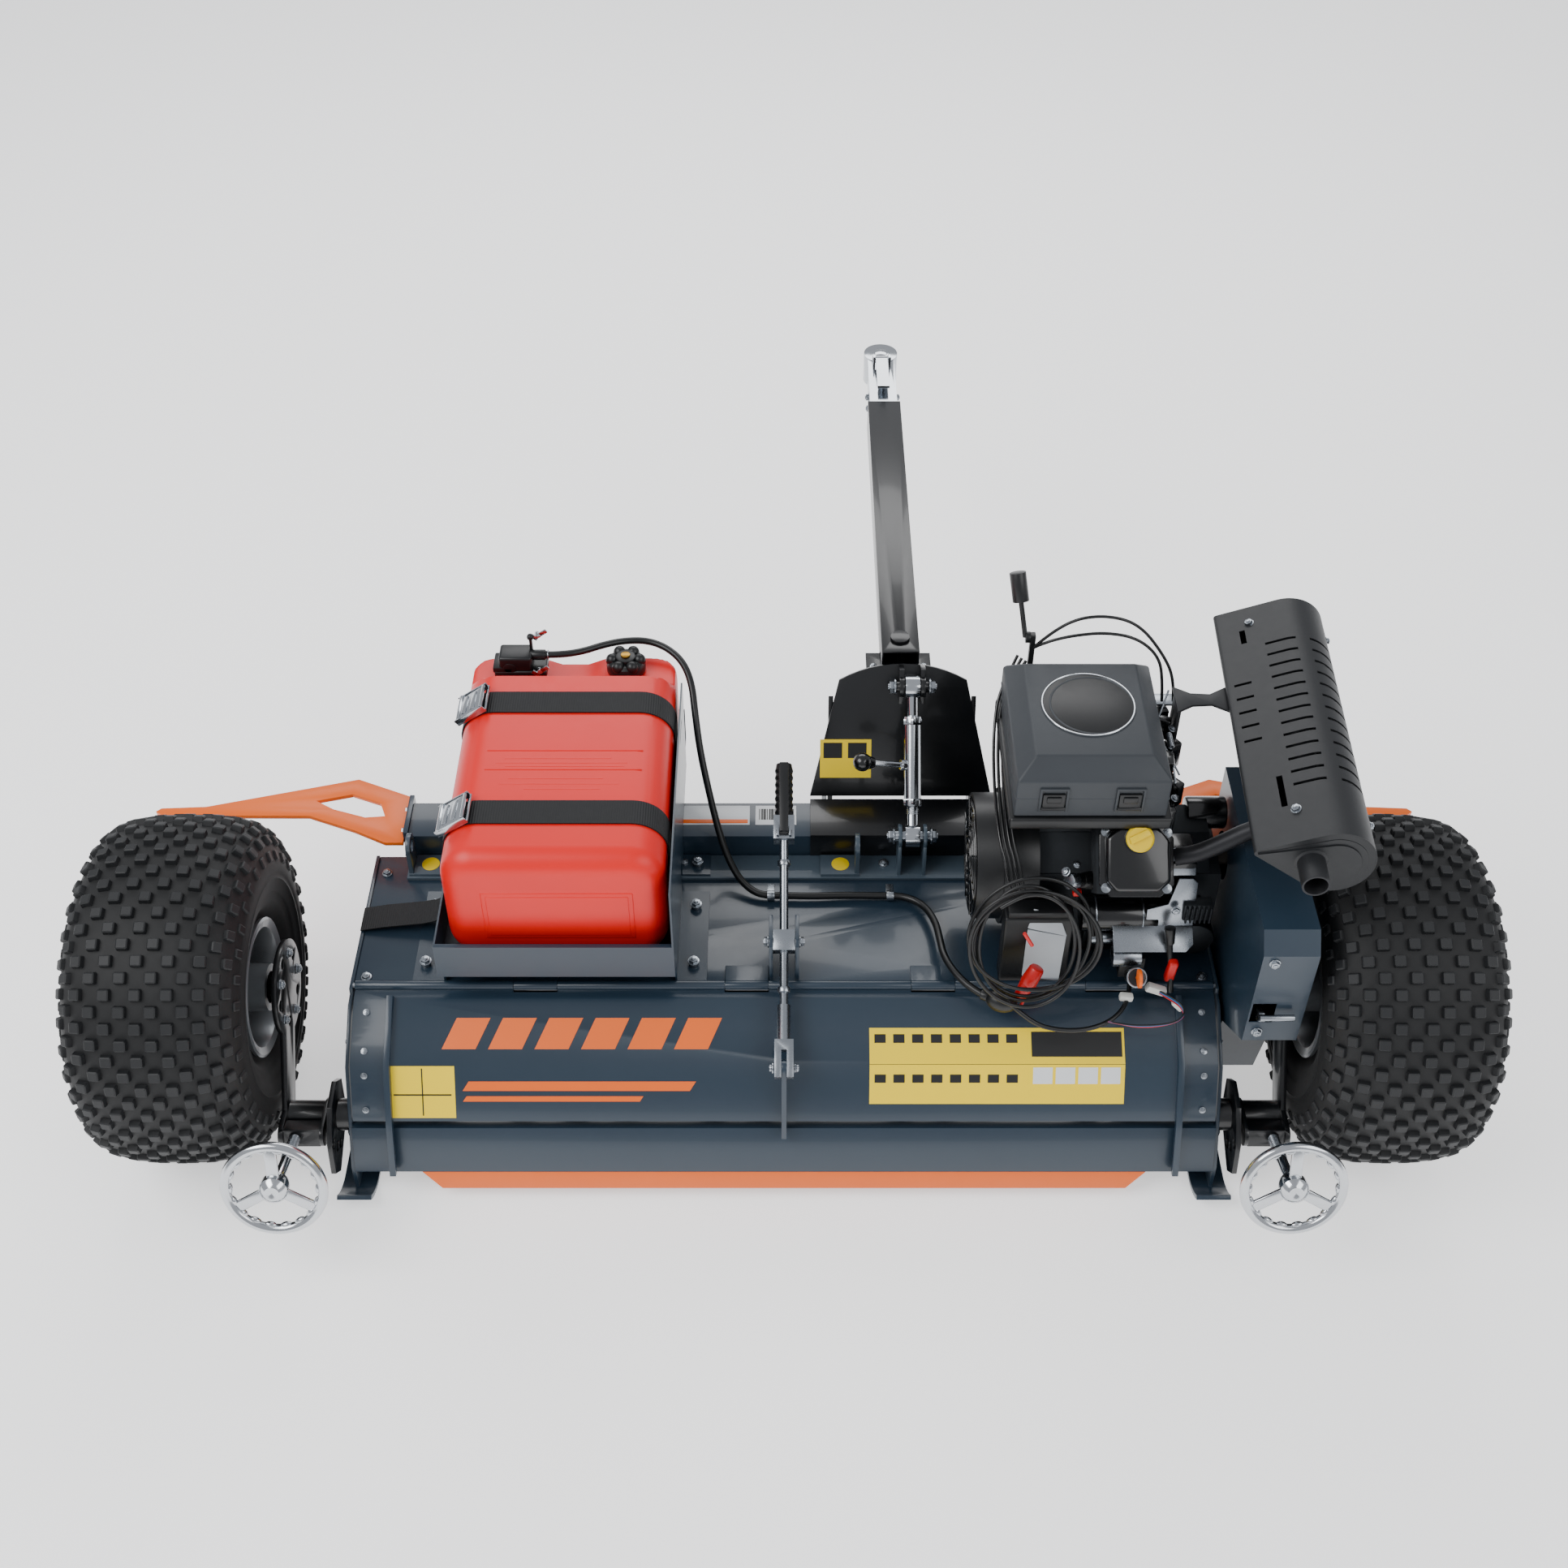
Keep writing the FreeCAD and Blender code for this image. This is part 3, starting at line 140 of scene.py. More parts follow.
@dataclass(frozen=True)
class Finish:
    """A real finish, as it is made.

    Attributes:
        name: What a maker calls it.
        slot: The record's material slot; not used.
        base: sRGB hex colour of the clean surface.
        aged: sRGB hex colour of its dull or dusty patches.
        rough: Microscopic roughness.
        metallic: 1 for bare metal.
        coat: Weight of a clear or gloss top layer.
        grain: How the surface was made.
        grain_mm: Spacing of the fine relief.
        relief_mm: Height of the fine relief.
    """

    name: str
    slot: str
    base: str
    aged: str
    rough: float
    metallic: float = 0.0
    coat: float = 0.0
    grain: Grain = Grain.POWDER
    grain_mm: float = 1.5
    relief_mm: float = 0.03

    def relief(self, tree: bpy.types.NodeTree, coords: bpy.types.NodeSocket,
               ribs: bpy.types.NodeSocket) -> bpy.types.NodeSocket:
        """The height socket of this finish's grain.

        Args:
            tree: The material's node tree.
            coords: Object coordinates.
            ribs: The UV socket, in metres along a strap.

        Returns:
            The socket that the bump node reads.
        """
        scale = 1.0 / (self.grain_mm * MM)
        if self.grain is Grain.WOVEN:
            wave = add_node(tree, "ShaderNodeTexWave", {"Vector": ribs}, bands_direction="Y",
                            in_Scale=math.tau * scale / 20,
                            in_Distortion=0.0)
            return wave.outputs["Fac"]
        if self.grain is Grain.BRUSHED:
            drawn = add_node(tree, "ShaderNodeMapping", {"Vector": coords}, in_Scale=(0.04, 1.0, 1.0))
            lines = add_node(tree, "ShaderNodeTexNoise", {"Vector": drawn.outputs["Vector"]},
                             in_Scale=scale, in_Detail=2.0)
            return lines.outputs["Fac"]
        if self.grain is Grain.CAST:
            pits = add_node(tree, "ShaderNodeTexVoronoi", {"Vector": coords}, in_Scale=scale)
            return pits.outputs["Distance"]
        detail = 1.0 if self.grain is Grain.POWDER else 4.0
        noise = add_node(tree, "ShaderNodeTexNoise", {"Vector": coords}, in_Scale=scale, in_Detail=detail)
        return noise.outputs["Fac"]

    def material(self) -> bpy.types.Material:
        """The procedural material of this finish, made once.

        Returns:
            The material.
        """
        found = bpy.data.materials.get(self.name)
        if found is not None:
            return found
        made = bpy.data.materials.new(self.name)
        made.use_nodes = True
        tree = made.node_tree
        shader = tree.nodes["Principled BSDF"]
        place = add_node(tree, "ShaderNodeTexCoord")
        coords = place.outputs["Object"]
        # patches about 90 mm across, as handling and dust leave them
        patches = add_node(tree, "ShaderNodeTexNoise", {"Vector": coords}, in_Scale=11.0, in_Detail=5.0,
                           in_Roughness=0.6)
        tint = add_node(tree, "ShaderNodeMix", {"Factor": patches.outputs["Fac"]}, data_type="RGBA",
                        in_6=linear(self.base), in_7=linear(self.aged))
        tree.links.new(tint.outputs[2], shader.inputs["Base Color"])
        # wiping marks about 12 mm across change the gloss only
        wiped = add_node(tree, "ShaderNodeTexNoise", {"Vector": coords}, in_Scale=80.0, in_Detail=3.0)
        gloss = add_node(tree, "ShaderNodeMapRange", {"Value": wiped.outputs["Fac"]},
                         in_3=max(self.rough - 0.03, 0.02), in_4=min(self.rough + 0.04, 1.0))
        tree.links.new(gloss.outputs["Result"], shader.inputs["Roughness"])
        bump = add_node(tree, "ShaderNodeBump", {"Height": self.relief(tree, coords, place.outputs["UV"])},
                        in_Strength=1.0, in_Distance=self.relief_mm * MM)
        tree.links.new(bump.outputs["Normal"], shader.inputs["Normal"])
        shader.inputs["Metallic"].default_value = self.metallic
        shader.inputs["Coat Weight"].default_value = self.coat
        shader.inputs["Coat Roughness"].default_value = 0.08
        return made


# polyester powder coat, semi-gloss: soft long highlights and a faint orange peel
SLATE_COAT = Finish("slate powder coat", "deck_paint", "#1F2F3D", "#243442", 0.32, coat=0.25, grain_mm=2.5)
# the same powder in a lighter grey, on the shelf and tray
SHELF_COAT = Finish("grey powder coat", "shelf_paint", "#3E4C57", "#46545F", 0.32, coat=0.25, grain_mm=2.5)
# the same powder in black, on the hitch and arms
BLACK_COAT = Finish("black powder coat", "black_steel", "#07080A", "#0C0E11", 0.30, coat=0.25, grain_mm=2.5)
# the same powder in orange, with a flatter gloss
ORANGE_COAT = Finish("orange powder coat", "orange_paint", "#F46C00", "#EC6500", 0.40, coat=0.05,
                     grain_mm=2.5)
# sprayed aluminium-flake wheel lacquer
RIM_COAT = Finish("silver wheel paint", "rim_paint", "#85898D", "#75797D", 0.34, metallic=0.6, coat=0.3,
                  grain_mm=2.0)
# bright zinc plating: a thin grey mirror with a slight milky bloom
ZINC = Finish("bright zinc plate", "zinc", "#A9AEB4", "#93999F", 0.27, metallic=1.0, grain=Grain.CAST,
              grain_mm=3.0, relief_mm=0.01)
# decorative chrome over polished steel: near mirror
CHROME = Finish("polished chrome", "chrome_plate", "#C4C8CC", "#B6BABF", 0.14, metallic=1.0, grain_mm=6.0,
                relief_mm=0.008)
# buffed casting with fine wheel marks
POLISHED = Finish("polished aluminium", "polished_aluminium", "#CDD0D3", "#BDC0C4", 0.15, metallic=1.0,
                  grain=Grain.BRUSHED, grain_mm=0.8, relief_mm=0.006)
# waxy blow-moulded shell: soft broad highlights
RED_HDPE = Finish("red blow-moulded polyethylene", "tank_red", "#E00905", "#E80F08", 0.40, coat=0.0,
                  grain=Grain.MOULDED, grain_mm=1.2, relief_mm=0.03)
# moulded caps and covers: even, dry sheen
BLACK_NYLON = Finish("black moulded nylon", "black_plastic", "#08090B", "#0F1113", 0.38, grain=Grain.MOULDED,
                     grain_mm=1.0, relief_mm=0.03)
# brushed-on oven enamel: wet-looking black
BLACK_GLOSS = Finish("black stove enamel", "black_plastic", "#050607", "#090A0C", 0.22, coat=0.4,
                     grain_mm=3.0, relief_mm=0.02)
# textured cover moulding: a coarse leather-like grain
FILTER_ABS = Finish("grained charcoal ABS", "filter_grey", "#2A2E33", "#31363B", 0.50, grain=Grain.MOULDED,
                    grain_mm=1.1, relief_mm=0.10)
# ribbed tie-down webbing, woven across its length
WEBBING = Finish("polypropylene webbing", "webbing", "#0B0C0E", "#121417", 0.66, grain=Grain.WOVEN,
                 grain_mm=4.0, relief_mm=0.5)
# extruded hose and wire jackets: smooth with a low shine
HOSE_RUBBER = Finish("nitrile rubber", "hose_rubber", "#08090A", "#0E1011", 0.36, grain=Grain.RUBBER,
                     grain_mm=0.8, relief_mm=0.02)
# moulded tread compound; the carcass between the blocks is painted darker than the tread, as painted shade
# between the blocks, and is duller
TYRE_RUBBER = Finish("tread rubber", "tyre_rubber", "#0E1012", "#141619", 0.58, grain=Grain.RUBBER,
                     grain_mm=1.2, relief_mm=0.06)
# the carcass colour is darker than the tread's: painted shade between the tread blocks
CARCASS_RUBBER_SHADED = Finish("carcass rubber, painted shade", "tyre_rubber", "#08090A", "#0D0E10", 0.66, grain=Grain.RUBBER,
                        grain_mm=1.2, relief_mm=0.06)
# as-cast alloy, darkened by heat and oil
CAST_ALUMINIUM = Finish("die-cast aluminium", "cast_engine", "#3C3F42", "#2D3033", 0.50, metallic=0.9,
                        grain=Grain.CAST,
                        grain_mm=1.6, relief_mm=0.08)
# silicone heat paint: flat and slightly warm at its edges
HEAT_PAINT = Finish("heat-proof black paint", "muffler_paint", "#131518", "#191B1E", 0.50, grain=Grain.RUBBER,
                    grain_mm=0.9, relief_mm=0.04)
# unpainted exhaust tube, browned by heat
BARE_PIPE = Finish("heat-stained steel", "muffler_paint", "#36373A", "#2C2C2E", 0.46, metallic=0.7,
                   grain=Grain.CAST,
                   grain_mm=2.0, relief_mm=0.03)
# moulded oil cap
YELLOW_NYLON = Finish("yellow moulded nylon", "yellow_plastic", "#E8C800", "#DDBB00", 0.40,
                      grain=Grain.MOULDED, relief_mm=0.02)
# sand-cast hammers and rotor, pitted by use
CAST_STEEL = Finish("rough cast steel", "rotor_steel", "#3E3A37", "#2E2B29", 0.62, metallic=0.85,
                    grain=Grain.CAST,
                    grain_mm=2.2, relief_mm=0.12)
# moulded case panel, slightly chalky
PALE_CASE = Finish("pale grey polypropylene", "battery_case", "#BFC4C8", "#B2B7BC", 0.42,
                   grain=Grain.MOULDED, relief_mm=0.03)
# printed self-adhesive films: smooth, with a faint edge of glue gloss
ORANGE_VINYL = Finish("orange vinyl film", "orange_paint", "#F46A00", "#EE6400", 0.46, coat=0.0,
                      grain_mm=4.0, relief_mm=0.01)
YELLOW_VINYL = Finish("yellow vinyl film", "yellow_plastic", "#FFDD00", "#FAD600", 0.46, coat=0.0,
                      grain_mm=4.0, relief_mm=0.01)
BLACK_VINYL = Finish("black vinyl film", "black_plastic", "#050506", "#08090A", 0.46, coat=0.1,
                     grain_mm=4.0, relief_mm=0.01)
WHITE_VINYL = Finish("white vinyl film", "battery_case", "#E4E6E7", "#DADDDF", 0.40, coat=0.1, grain_mm=4.0,
                     relief_mm=0.01)
# machined fittings with turning marks
BRASS = Finish("turned brass", "zinc", "#B38A35", "#A07A2C", 0.28, metallic=1.0, grain=Grain.BRUSHED,
               grain_mm=0.8, relief_mm=0.006)
# dipped terminal boots: soft and waxy
RED_PVC = Finish("red soft PVC", "tank_red", "#D00F0A", "#BC0A08", 0.36, coat=0.1, grain=Grain.MOULDED,
                 relief_mm=0.02)
# extruded wire jacket
BLUE_PVC = Finish("blue wire PVC", "hose_rubber", "#2F6FA8", "#2A6398", 0.40, grain=Grain.MOULDED,
                  relief_mm=0.01)
# moulded wire plugs, faintly ivory
WHITE_NYLON = Finish("white connector nylon", "battery_case", "#DEDED8", "#D0D0CA", 0.42,
                     grain=Grain.MOULDED, relief_mm=0.02)
# matt background paper
STUDIO_FLOOR = Finish("seamless pale paper", "battery_case", "#FAFAFA", "#F8F8F8", 0.9, grain=Grain.RUBBER,
                      grain_mm=3.0, relief_mm=0.01)


# ---------------------------------------------------------------- shaping

class Shape:
    """A mesh under way. Sizes and places are millimetres from the axle."""

    def __init__(self) -> None:
        """Start with an empty mesh."""
        self.bm = bmesh.new()

    def take(self, part: bmesh.types.BMesh, matrix: Matrix) -> None:
        """Move a part and add it to this shape.

        Args:
            part: The part, freed afterwards.
            matrix: Where it goes.
        """
        bmesh.ops.transform(part, matrix=matrix, verts=part.verts)
        scratch = bpy.data.meshes.new("scratch")
        part.to_mesh(scratch)
        part.free()
        self.bm.from_mesh(scratch)
        bpy.data.meshes.remove(scratch)

    @staticmethod
    def round_edges(part: bmesh.types.BMesh, edges: Iterable, edge: float, steps: int) -> None:
        """Bevel some edges by a width in millimetres.

        Args:
            part: The mesh.
            edges: Edges to round.
            edge: Width in mm; 0 leaves them sharp.
            steps: Bevel segments.
        """
        if edge > 0:
            bmesh.ops.bevel(part, geom=list(edges), offset=edge, segments=steps, profile=0.5, affect="EDGES",
                            material=-1, clamp_overlap=True)

    def slab(self, size: Triple, centre: Triple, turn: Optional[Matrix] = None, edge: float = 1.0,
             steps: int = 2) -> "Shape":
        """Add a block with rounded edges.

        Args:
            size: Width, depth and height.
            centre: Its middle.
            turn: How it is turned, or None.
            edge: Width of the rounding.
            steps: Segments of the rounding.

        Returns:
            This shape.
        """
        part = bmesh.new()
        bmesh.ops.create_cube(part, size=1.0)
        bmesh.ops.scale(part, vec=Vector(size), verts=part.verts)
        self.round_edges(part, part.edges, edge, steps)
        self.take(part, Matrix.Translation(Vector(centre)) @ (turn or Matrix()))
        return self

    def post(self, radius: float, length: float, start: Triple, along: Triple = Z,
             tip: Optional[float] = None,
             sides: int = 24, edge: float = 0.6, roll: float = 0.0) -> "Shape":
        """Add a round, tapered or many-sided bar from its start along a direction.

        Args:
            radius: At the start, in mm.
            length: In mm.
            start: Middle of its first end.
            along: Its direction.
            tip: Radius at the far end, if it differs.
            sides: Faces around it.
            edge: Width of its edge rounding.
            roll: Turn about its own axis, in degrees.

        Returns:
            This shape.
        """
        part = bmesh.new()
        bmesh.ops.create_cone(part, cap_ends=True, segments=sides, radius1=radius,
                              radius2=radius if tip is None else tip, depth=length)
        bmesh.ops.translate(part, vec=(0, 0, length / 2), verts=part.verts)
        rims = [e for e in part.edges if abs(e.verts[0].co.z - e.verts[1].co.z) < 1e-6]
        self.round_edges(part, rims, edge, 2)
        self.take(part, Matrix.Translation(Vector(start)) @ toward(along, roll))
        return self

    def ball(self, radius: float, centre: Triple, stretch: Triple = (1, 1, 1), turn: Optional[Matrix] = None,
             sides: int = 24) -> "Shape":
        """Add a ball or an egg.

        Args:
            radius: In mm.
            centre: Its middle.
            stretch: Scale along its own axes.
            turn: How it is turned.
            sides: Faces around it.

        Returns:
            This shape.
        """
        part = bmesh.new()
        bmesh.ops.create_uvsphere(part, u_segments=sides, v_segments=sides // 2, radius=radius)
        bmesh.ops.scale(part, vec=Vector(stretch), verts=part.verts)
        self.take(part, Matrix.Translation(Vector(centre)) @ (turn or Matrix()))
        return self

    def lathe(self, outline: Sequence[tuple], origin: Triple, along: Triple, steps: int = 48,
              closed: bool = False) -> "Shape":
        """Add a turned shape.

        Args:
            outline: Points (place along the axis, radius).
            origin: Where the axis starts.
            along: The axis.
            steps: Segments of the full turn.
            closed: Whether the outline is a closed ring.

        Returns:
            This shape.
        """
        part = bmesh.new()
        verts = [part.verts.new((radius, 0, height)) for height, radius in outline]
        pairs = list(zip(verts, verts[1:])) + ([(verts[-1], verts[0])] if closed else [])
        edges = [part.edges.new(pair) for pair in pairs]
        bmesh.ops.spin(part, geom=verts + edges, cent=(0, 0, 0), axis=(0, 0, 1), angle=math.tau, steps=steps,
                       use_merge=True, use_duplicate=False)
        bmesh.ops.remove_doubles(part, verts=part.verts, dist=0.01)
        bmesh.ops.recalc_face_normals(part, faces=part.faces)
        self.take(part, Matrix.Translation(Vector(origin)) @ toward(along))
        return self

    def plate(self, outline: Sequence[tuple], origin: Triple, across: Triple, up: Triple, thick: float,
              edge: float = 0.8, steps: int = 2) -> "Shape":
        """Add a flat plate: a closed outline pushed out square to its own plane.

        Args:
            outline: Corners along across and up, in mm.
            origin: Where the outline starts from.
            across: The outline's first direction.
            up: The outline's second direction.
            thick: Thickness in mm.
            edge: Width of the edge rounding.
            steps: Bevel segments.

        Returns:
            This shape.
        """
        part = bmesh.new()
        face = part.faces.new([part.verts.new((a, b, 0)) for a, b in outline])
        grown = bmesh.ops.extrude_face_region(part, geom=[face])["geom"]
        bmesh.ops.translate(part, vec=(0, 0, thick),
                            verts=[v for v in grown if isinstance(v, bmesh.types.BMVert)])
        bmesh.ops.recalc_face_normals(part, faces=part.faces)
        self.round_edges(part, part.edges, edge, steps)
        right, over = Vector(across).normalized(), Vector(up).normalized()
        turn = Matrix((right, over, right.cross(over))).transposed().to_4x4()
        self.take(part, Matrix.Translation(Vector(origin)) @ turn)
        return self

    def ring(self, big: float, small: float, centre: Triple, along: Triple = Z, steps: int = 48,
             sides: int = 12) -> "Shape":
        """Add a round ring of round section.

        Args:
            big: Radius of the ring.
            small: Radius of its section.
            centre: Its middle.
            along: Its axis.
            steps: Faces around the ring.
            sides: Faces around its section.

        Returns:
            This shape.
        """
        loop = [(small * math.sin(math.tau * i / sides),
                 big + small * math.cos(math.tau * i / sides)) for i in range(sides)]
        return self.lathe(loop, centre, along, steps, closed=True)

    def bolt(self, place: Triple, along: Triple = Z, size: float = 8.0, washer: bool = True) -> "Shape":
        """Add a hexagon bolt head on its washer, with the stub of its thread.

        Args:
            place: Middle of its seat.
            along: Direction that the head faces.
            size: Nominal thread, in mm.
            washer: Whether it sits on a washer.

        Returns:
            This shape.
        """
        foot, way = Vector(place), Vector(along).normalized()
        if washer:
            self.post(size * 1.08, size * 0.2, foot, way, sides=20, edge=0.2)
            foot = foot + way * size * 0.2
        self.post(size * 0.87, size * 0.6, foot, way, sides=6, edge=size * 0.07)
        self.post(size * 0.45, size * 0.22, foot + way * size * 0.58, way, sides=14, edge=size * 0.06)
        return self

    def copies(self, count: int, pivot: Triple, along: Triple, first: float = 0.0) -> "Shape":
        """Repeat what is here around an axis, evenly through a full turn.

        Args:
            count: How many in the turn.
            pivot: A point on the axis.
            along: The axis.
            first: Turn of the first copy, in degrees.

        Returns:
            This shape.
        """
        source = self.bm.copy()
        self.bm.clear()
        for index in range(count):
            part = source.copy()
            angle = math.radians(first) + math.tau * index / count
            home = Matrix.Translation(-Vector(pivot))
            turn = Matrix.Translation(Vector(pivot)) @ Matrix.Rotation(angle, 4,
                                                                       Vector(along)) @ home
            self.take(part, turn)
        source.free()
        return self

    def piece(self, name: str, finish: Finish, body: str, stands_for: Sequence[str] = (),
              crease: float = 32.0) -> bpy.types.Object:
        """Turn the shape into a finished piece that rides on a body.

        Args:
            name: The piece's name.
            finish: Its finish.
            body: The body that carries it.
            stands_for: CAD nodes that it replaces.
            crease: Edges sharper than this many degrees stay sharp.

        Returns:
            The new object.
        """
        scale = Matrix.Translation((0, AXLE_Y * MM, 0)) @ Matrix.Scale(MM, 4)
        bmesh.ops.transform(self.bm, matrix=scale, verts=self.bm.verts)
        for face in self.bm.faces:
            face.smooth = True
        for edge in self.bm.edges:
            edge.smooth = len(edge.link_faces) == 2 and edge.calc_face_angle(0.0) < math.radians(crease)
        mesh = bpy.data.meshes.new(name)
        self.bm.to_mesh(mesh)
        self.bm.free()
        mesh.materials.append(finish.material())
        piece = bpy.data.objects.new(name, mesh)
        bpy.context.scene.collection.objects.link(piece)
        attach(piece, body)
        if stands_for:
            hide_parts(*stands_for)
        LOG.info("%s: %d faces on %s", name, len(mesh.polygons), body)
        return piece


def dress(frame: dict, node: str, finish: Finish, edge: float = 0.0) -> bpy.types.Object:
    """Give a CAD node its finish, and round its edges if asked.

    Args:
        node: The CAD node.
        finish: Its finish.
        edge: Width of the edge rounding in millimetres; 0 keeps the node itself.

    Returns:
        The object that shows.
    """
    source = frame["nodes"][node]
    source.data.materials.clear()
    source.data.materials.append(finish.material())
    if edge <= 0:
        return source
    shape = Shape()
    shape.bm.from_mesh(source.data)
    bm = shape.bm
    bmesh.ops.transform(bm, matrix=Matrix.Scale(1000, 4), verts=bm.verts)
    bmesh.ops.translate(bm, vec=(0, -AXLE_Y, 0), verts=bm.verts)
    bmesh.ops.remove_doubles(bm, verts=bm.verts, dist=0.02)
    bmesh.ops.dissolve_limit(bm, angle_limit=math.radians(1.0), verts=bm.verts, edges=bm.edges)
    sharp = [e for e in bm.edges if len(e.link_faces) == 2 and e.calc_face_angle(0.0) > math.radians(38)]
    bmesh.ops.bevel(bm, geom=sharp, offset=edge, segments=2, profile=0.5, affect="EDGES", material=-1,
                    clamp_overlap=True)
    return shape.piece(node + "_rounded", finish, source["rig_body"], [node])


def free_cord(name: str, route: Sequence[Triple], diameter: float, finish: Finish, body: str,
              stands_for: Sequence[str] = ()) -> bpy.types.Object:
    """A round cord on one smooth curve through the hull of its route, in millimetres.

    Args:
        name: The piece's name.
        route: Control points, in mm from the axle.
        diameter: Of the cord, in mm.
        finish: Its finish.
        body: The body that it rides on.
        stands_for: CAD nodes that it replaces.

    Returns:
        The cord's curve object.
    """
    curve = bpy.data.curves.new(name, "CURVE")
    curve.dimensions = "3D"
    curve.bevel_depth = diameter / 2 * MM
    curve.bevel_resolution = 4
    curve.resolution_u = 8
    curve.use_fill_caps = True
    spline = curve.splines.new("NURBS")
    spline.points.add(len(route) - 1)
    for point, place in zip(spline.points, route):
        point.co = (*at(*place), 1.0)
    spline.order_u = 3
    spline.use_endpoint_u = True
    curve.materials.append(finish.material())
    cord = bpy.data.objects.new(name, curve)
    bpy.context.scene.collection.objects.link(cord)
    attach(cord, body)
    if stands_for:
        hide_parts(*stands_for)
    LOG.info("%s: cord of %d points on %s", name, len(route), body)
    return cord


def measured(cord: bpy.types.Object) -> float:
    """The length in metres of a cord's centre line, as it is laid.

    Args:
        cord: A cord made by free_cord.

    Returns:
        The length in metres.
    """
    line = cord.data.copy()
    line.bevel_depth = 0.0
    probe = bpy.data.objects.new("probe", line)
    mesh = probe.to_mesh()
    points = mesh.vertices
    length = sum((points[e.vertices[0]].co - points[e.vertices[1]].co).length for e in mesh.edges)
    probe.to_mesh_clear()
    bpy.data.objects.remove(probe)
    bpy.data.curves.remove(line)
    return length


# ---------------------------------------------------------------- deck

@dataclass
class Deck:
    """The mower's deck, its side plates, front beam and rear bar."""

    frame: dict
    half: float = 700.0
    top: float = 280.0
    flange_bolts: tuple = ((-582, 45, 283), (-582, 170, 283), (-147, 45, 283), (-147, 170, 283),
                           (-147, 263, 289))

    def sheets(self) -> None:
        """Dress the painted sheets and round their edges."""
        for node in ("deck_shell", "side_plates", "rear_cross_bar"):
            dress(self.frame, node, SLATE_COAT, 0.9)
        dress(self.frame, "front_beam", SLATE_COAT, 1.2)
        dress(self.frame, "deck_shelf", SHELF_COAT, 0.9)
        dress(self.frame, "bumper_arms", ORANGE_COAT, 1.0)
        dress(self.frame, "rear_skirt", ORANGE_COAT, 0.8)
        dress(self.frame, "frame_brackets", BLACK_COAT, 0.9)
        dress(self.frame, "fasteners", ZINC, 0.4)

    def bolts(self) -> None:
        """Zinc bolts with washers on the flanges and round the ends."""
        shape = Shape()
        for place in self.flange_bolts:
            shape.bolt(Vector(place) + Z * 7.2, size=9)
        for x in (-560, -170, 170, 560):
            shape.bolt((x, 268, 286.1), size=8)
        for side in (-1, 1):
            for y in (20, 250):
                shape.bolt((side * 676, y, 280.2), size=8)
            for y, z in ((150, 110), (40, 110), (95, 60)):
                shape.bolt((side * (self.half + 0.2), y + 0, z + 95), X * side, size=9)
            for y, z in ((-60, 215), (-100, 150), (-150, 95)):
                shape.bolt((side * (self.half + 0.2), y, z), X * side, size=7)
            for y, z in ((312, 262), (312, 320), (362, 262), (362, 320)):
                shape.bolt((side * 648.2, y, z), X * side, size=8)
        shape.piece("deck_bolts", ZINC, "deck")

    def shelf_labels(self) -> None:
        """Plain round stickers at the lifting eyes and blank plates on the beam."""
        spots = Shape()
        for x in (-602, 96):
            spots.post(15, 0.5, (x, 262, 291.1 if x < 0 else 291.1), Z, sides=28, edge=0.1)
        spots.piece("lifting_stickers", YELLOW_VINYL, "deck")
        plate = Shape()
        plate.slab((118, 46, 0.6), (-118, 340, 330.5), edge=0.2)
        plate.slab((70, 46, 0.6), (-14, 340, 330.5), edge=0.2)
        plate.piece("rating_plate", WHITE_VINYL, "deck")
        bars = Shape()
        bars.slab((112, 9, 0.5), (-118, 325, 331.0), edge=0.1)
        bars.piece("rating_plate_bar", ORANGE_VINYL, "deck")
        code = Shape()
        for index in range(14):
            code.slab((1.6 + 1.4 * (index % 3), 26, 0.4), (-42 + index * 4.4, 342, 331.0), edge=0)
        code.piece("stock_label_bars", BLACK_VINYL, "deck")

    def build(self) -> None:
        """Build the whole deck."""
        self.sheets()
        self.bolts()
        self.shelf_labels()


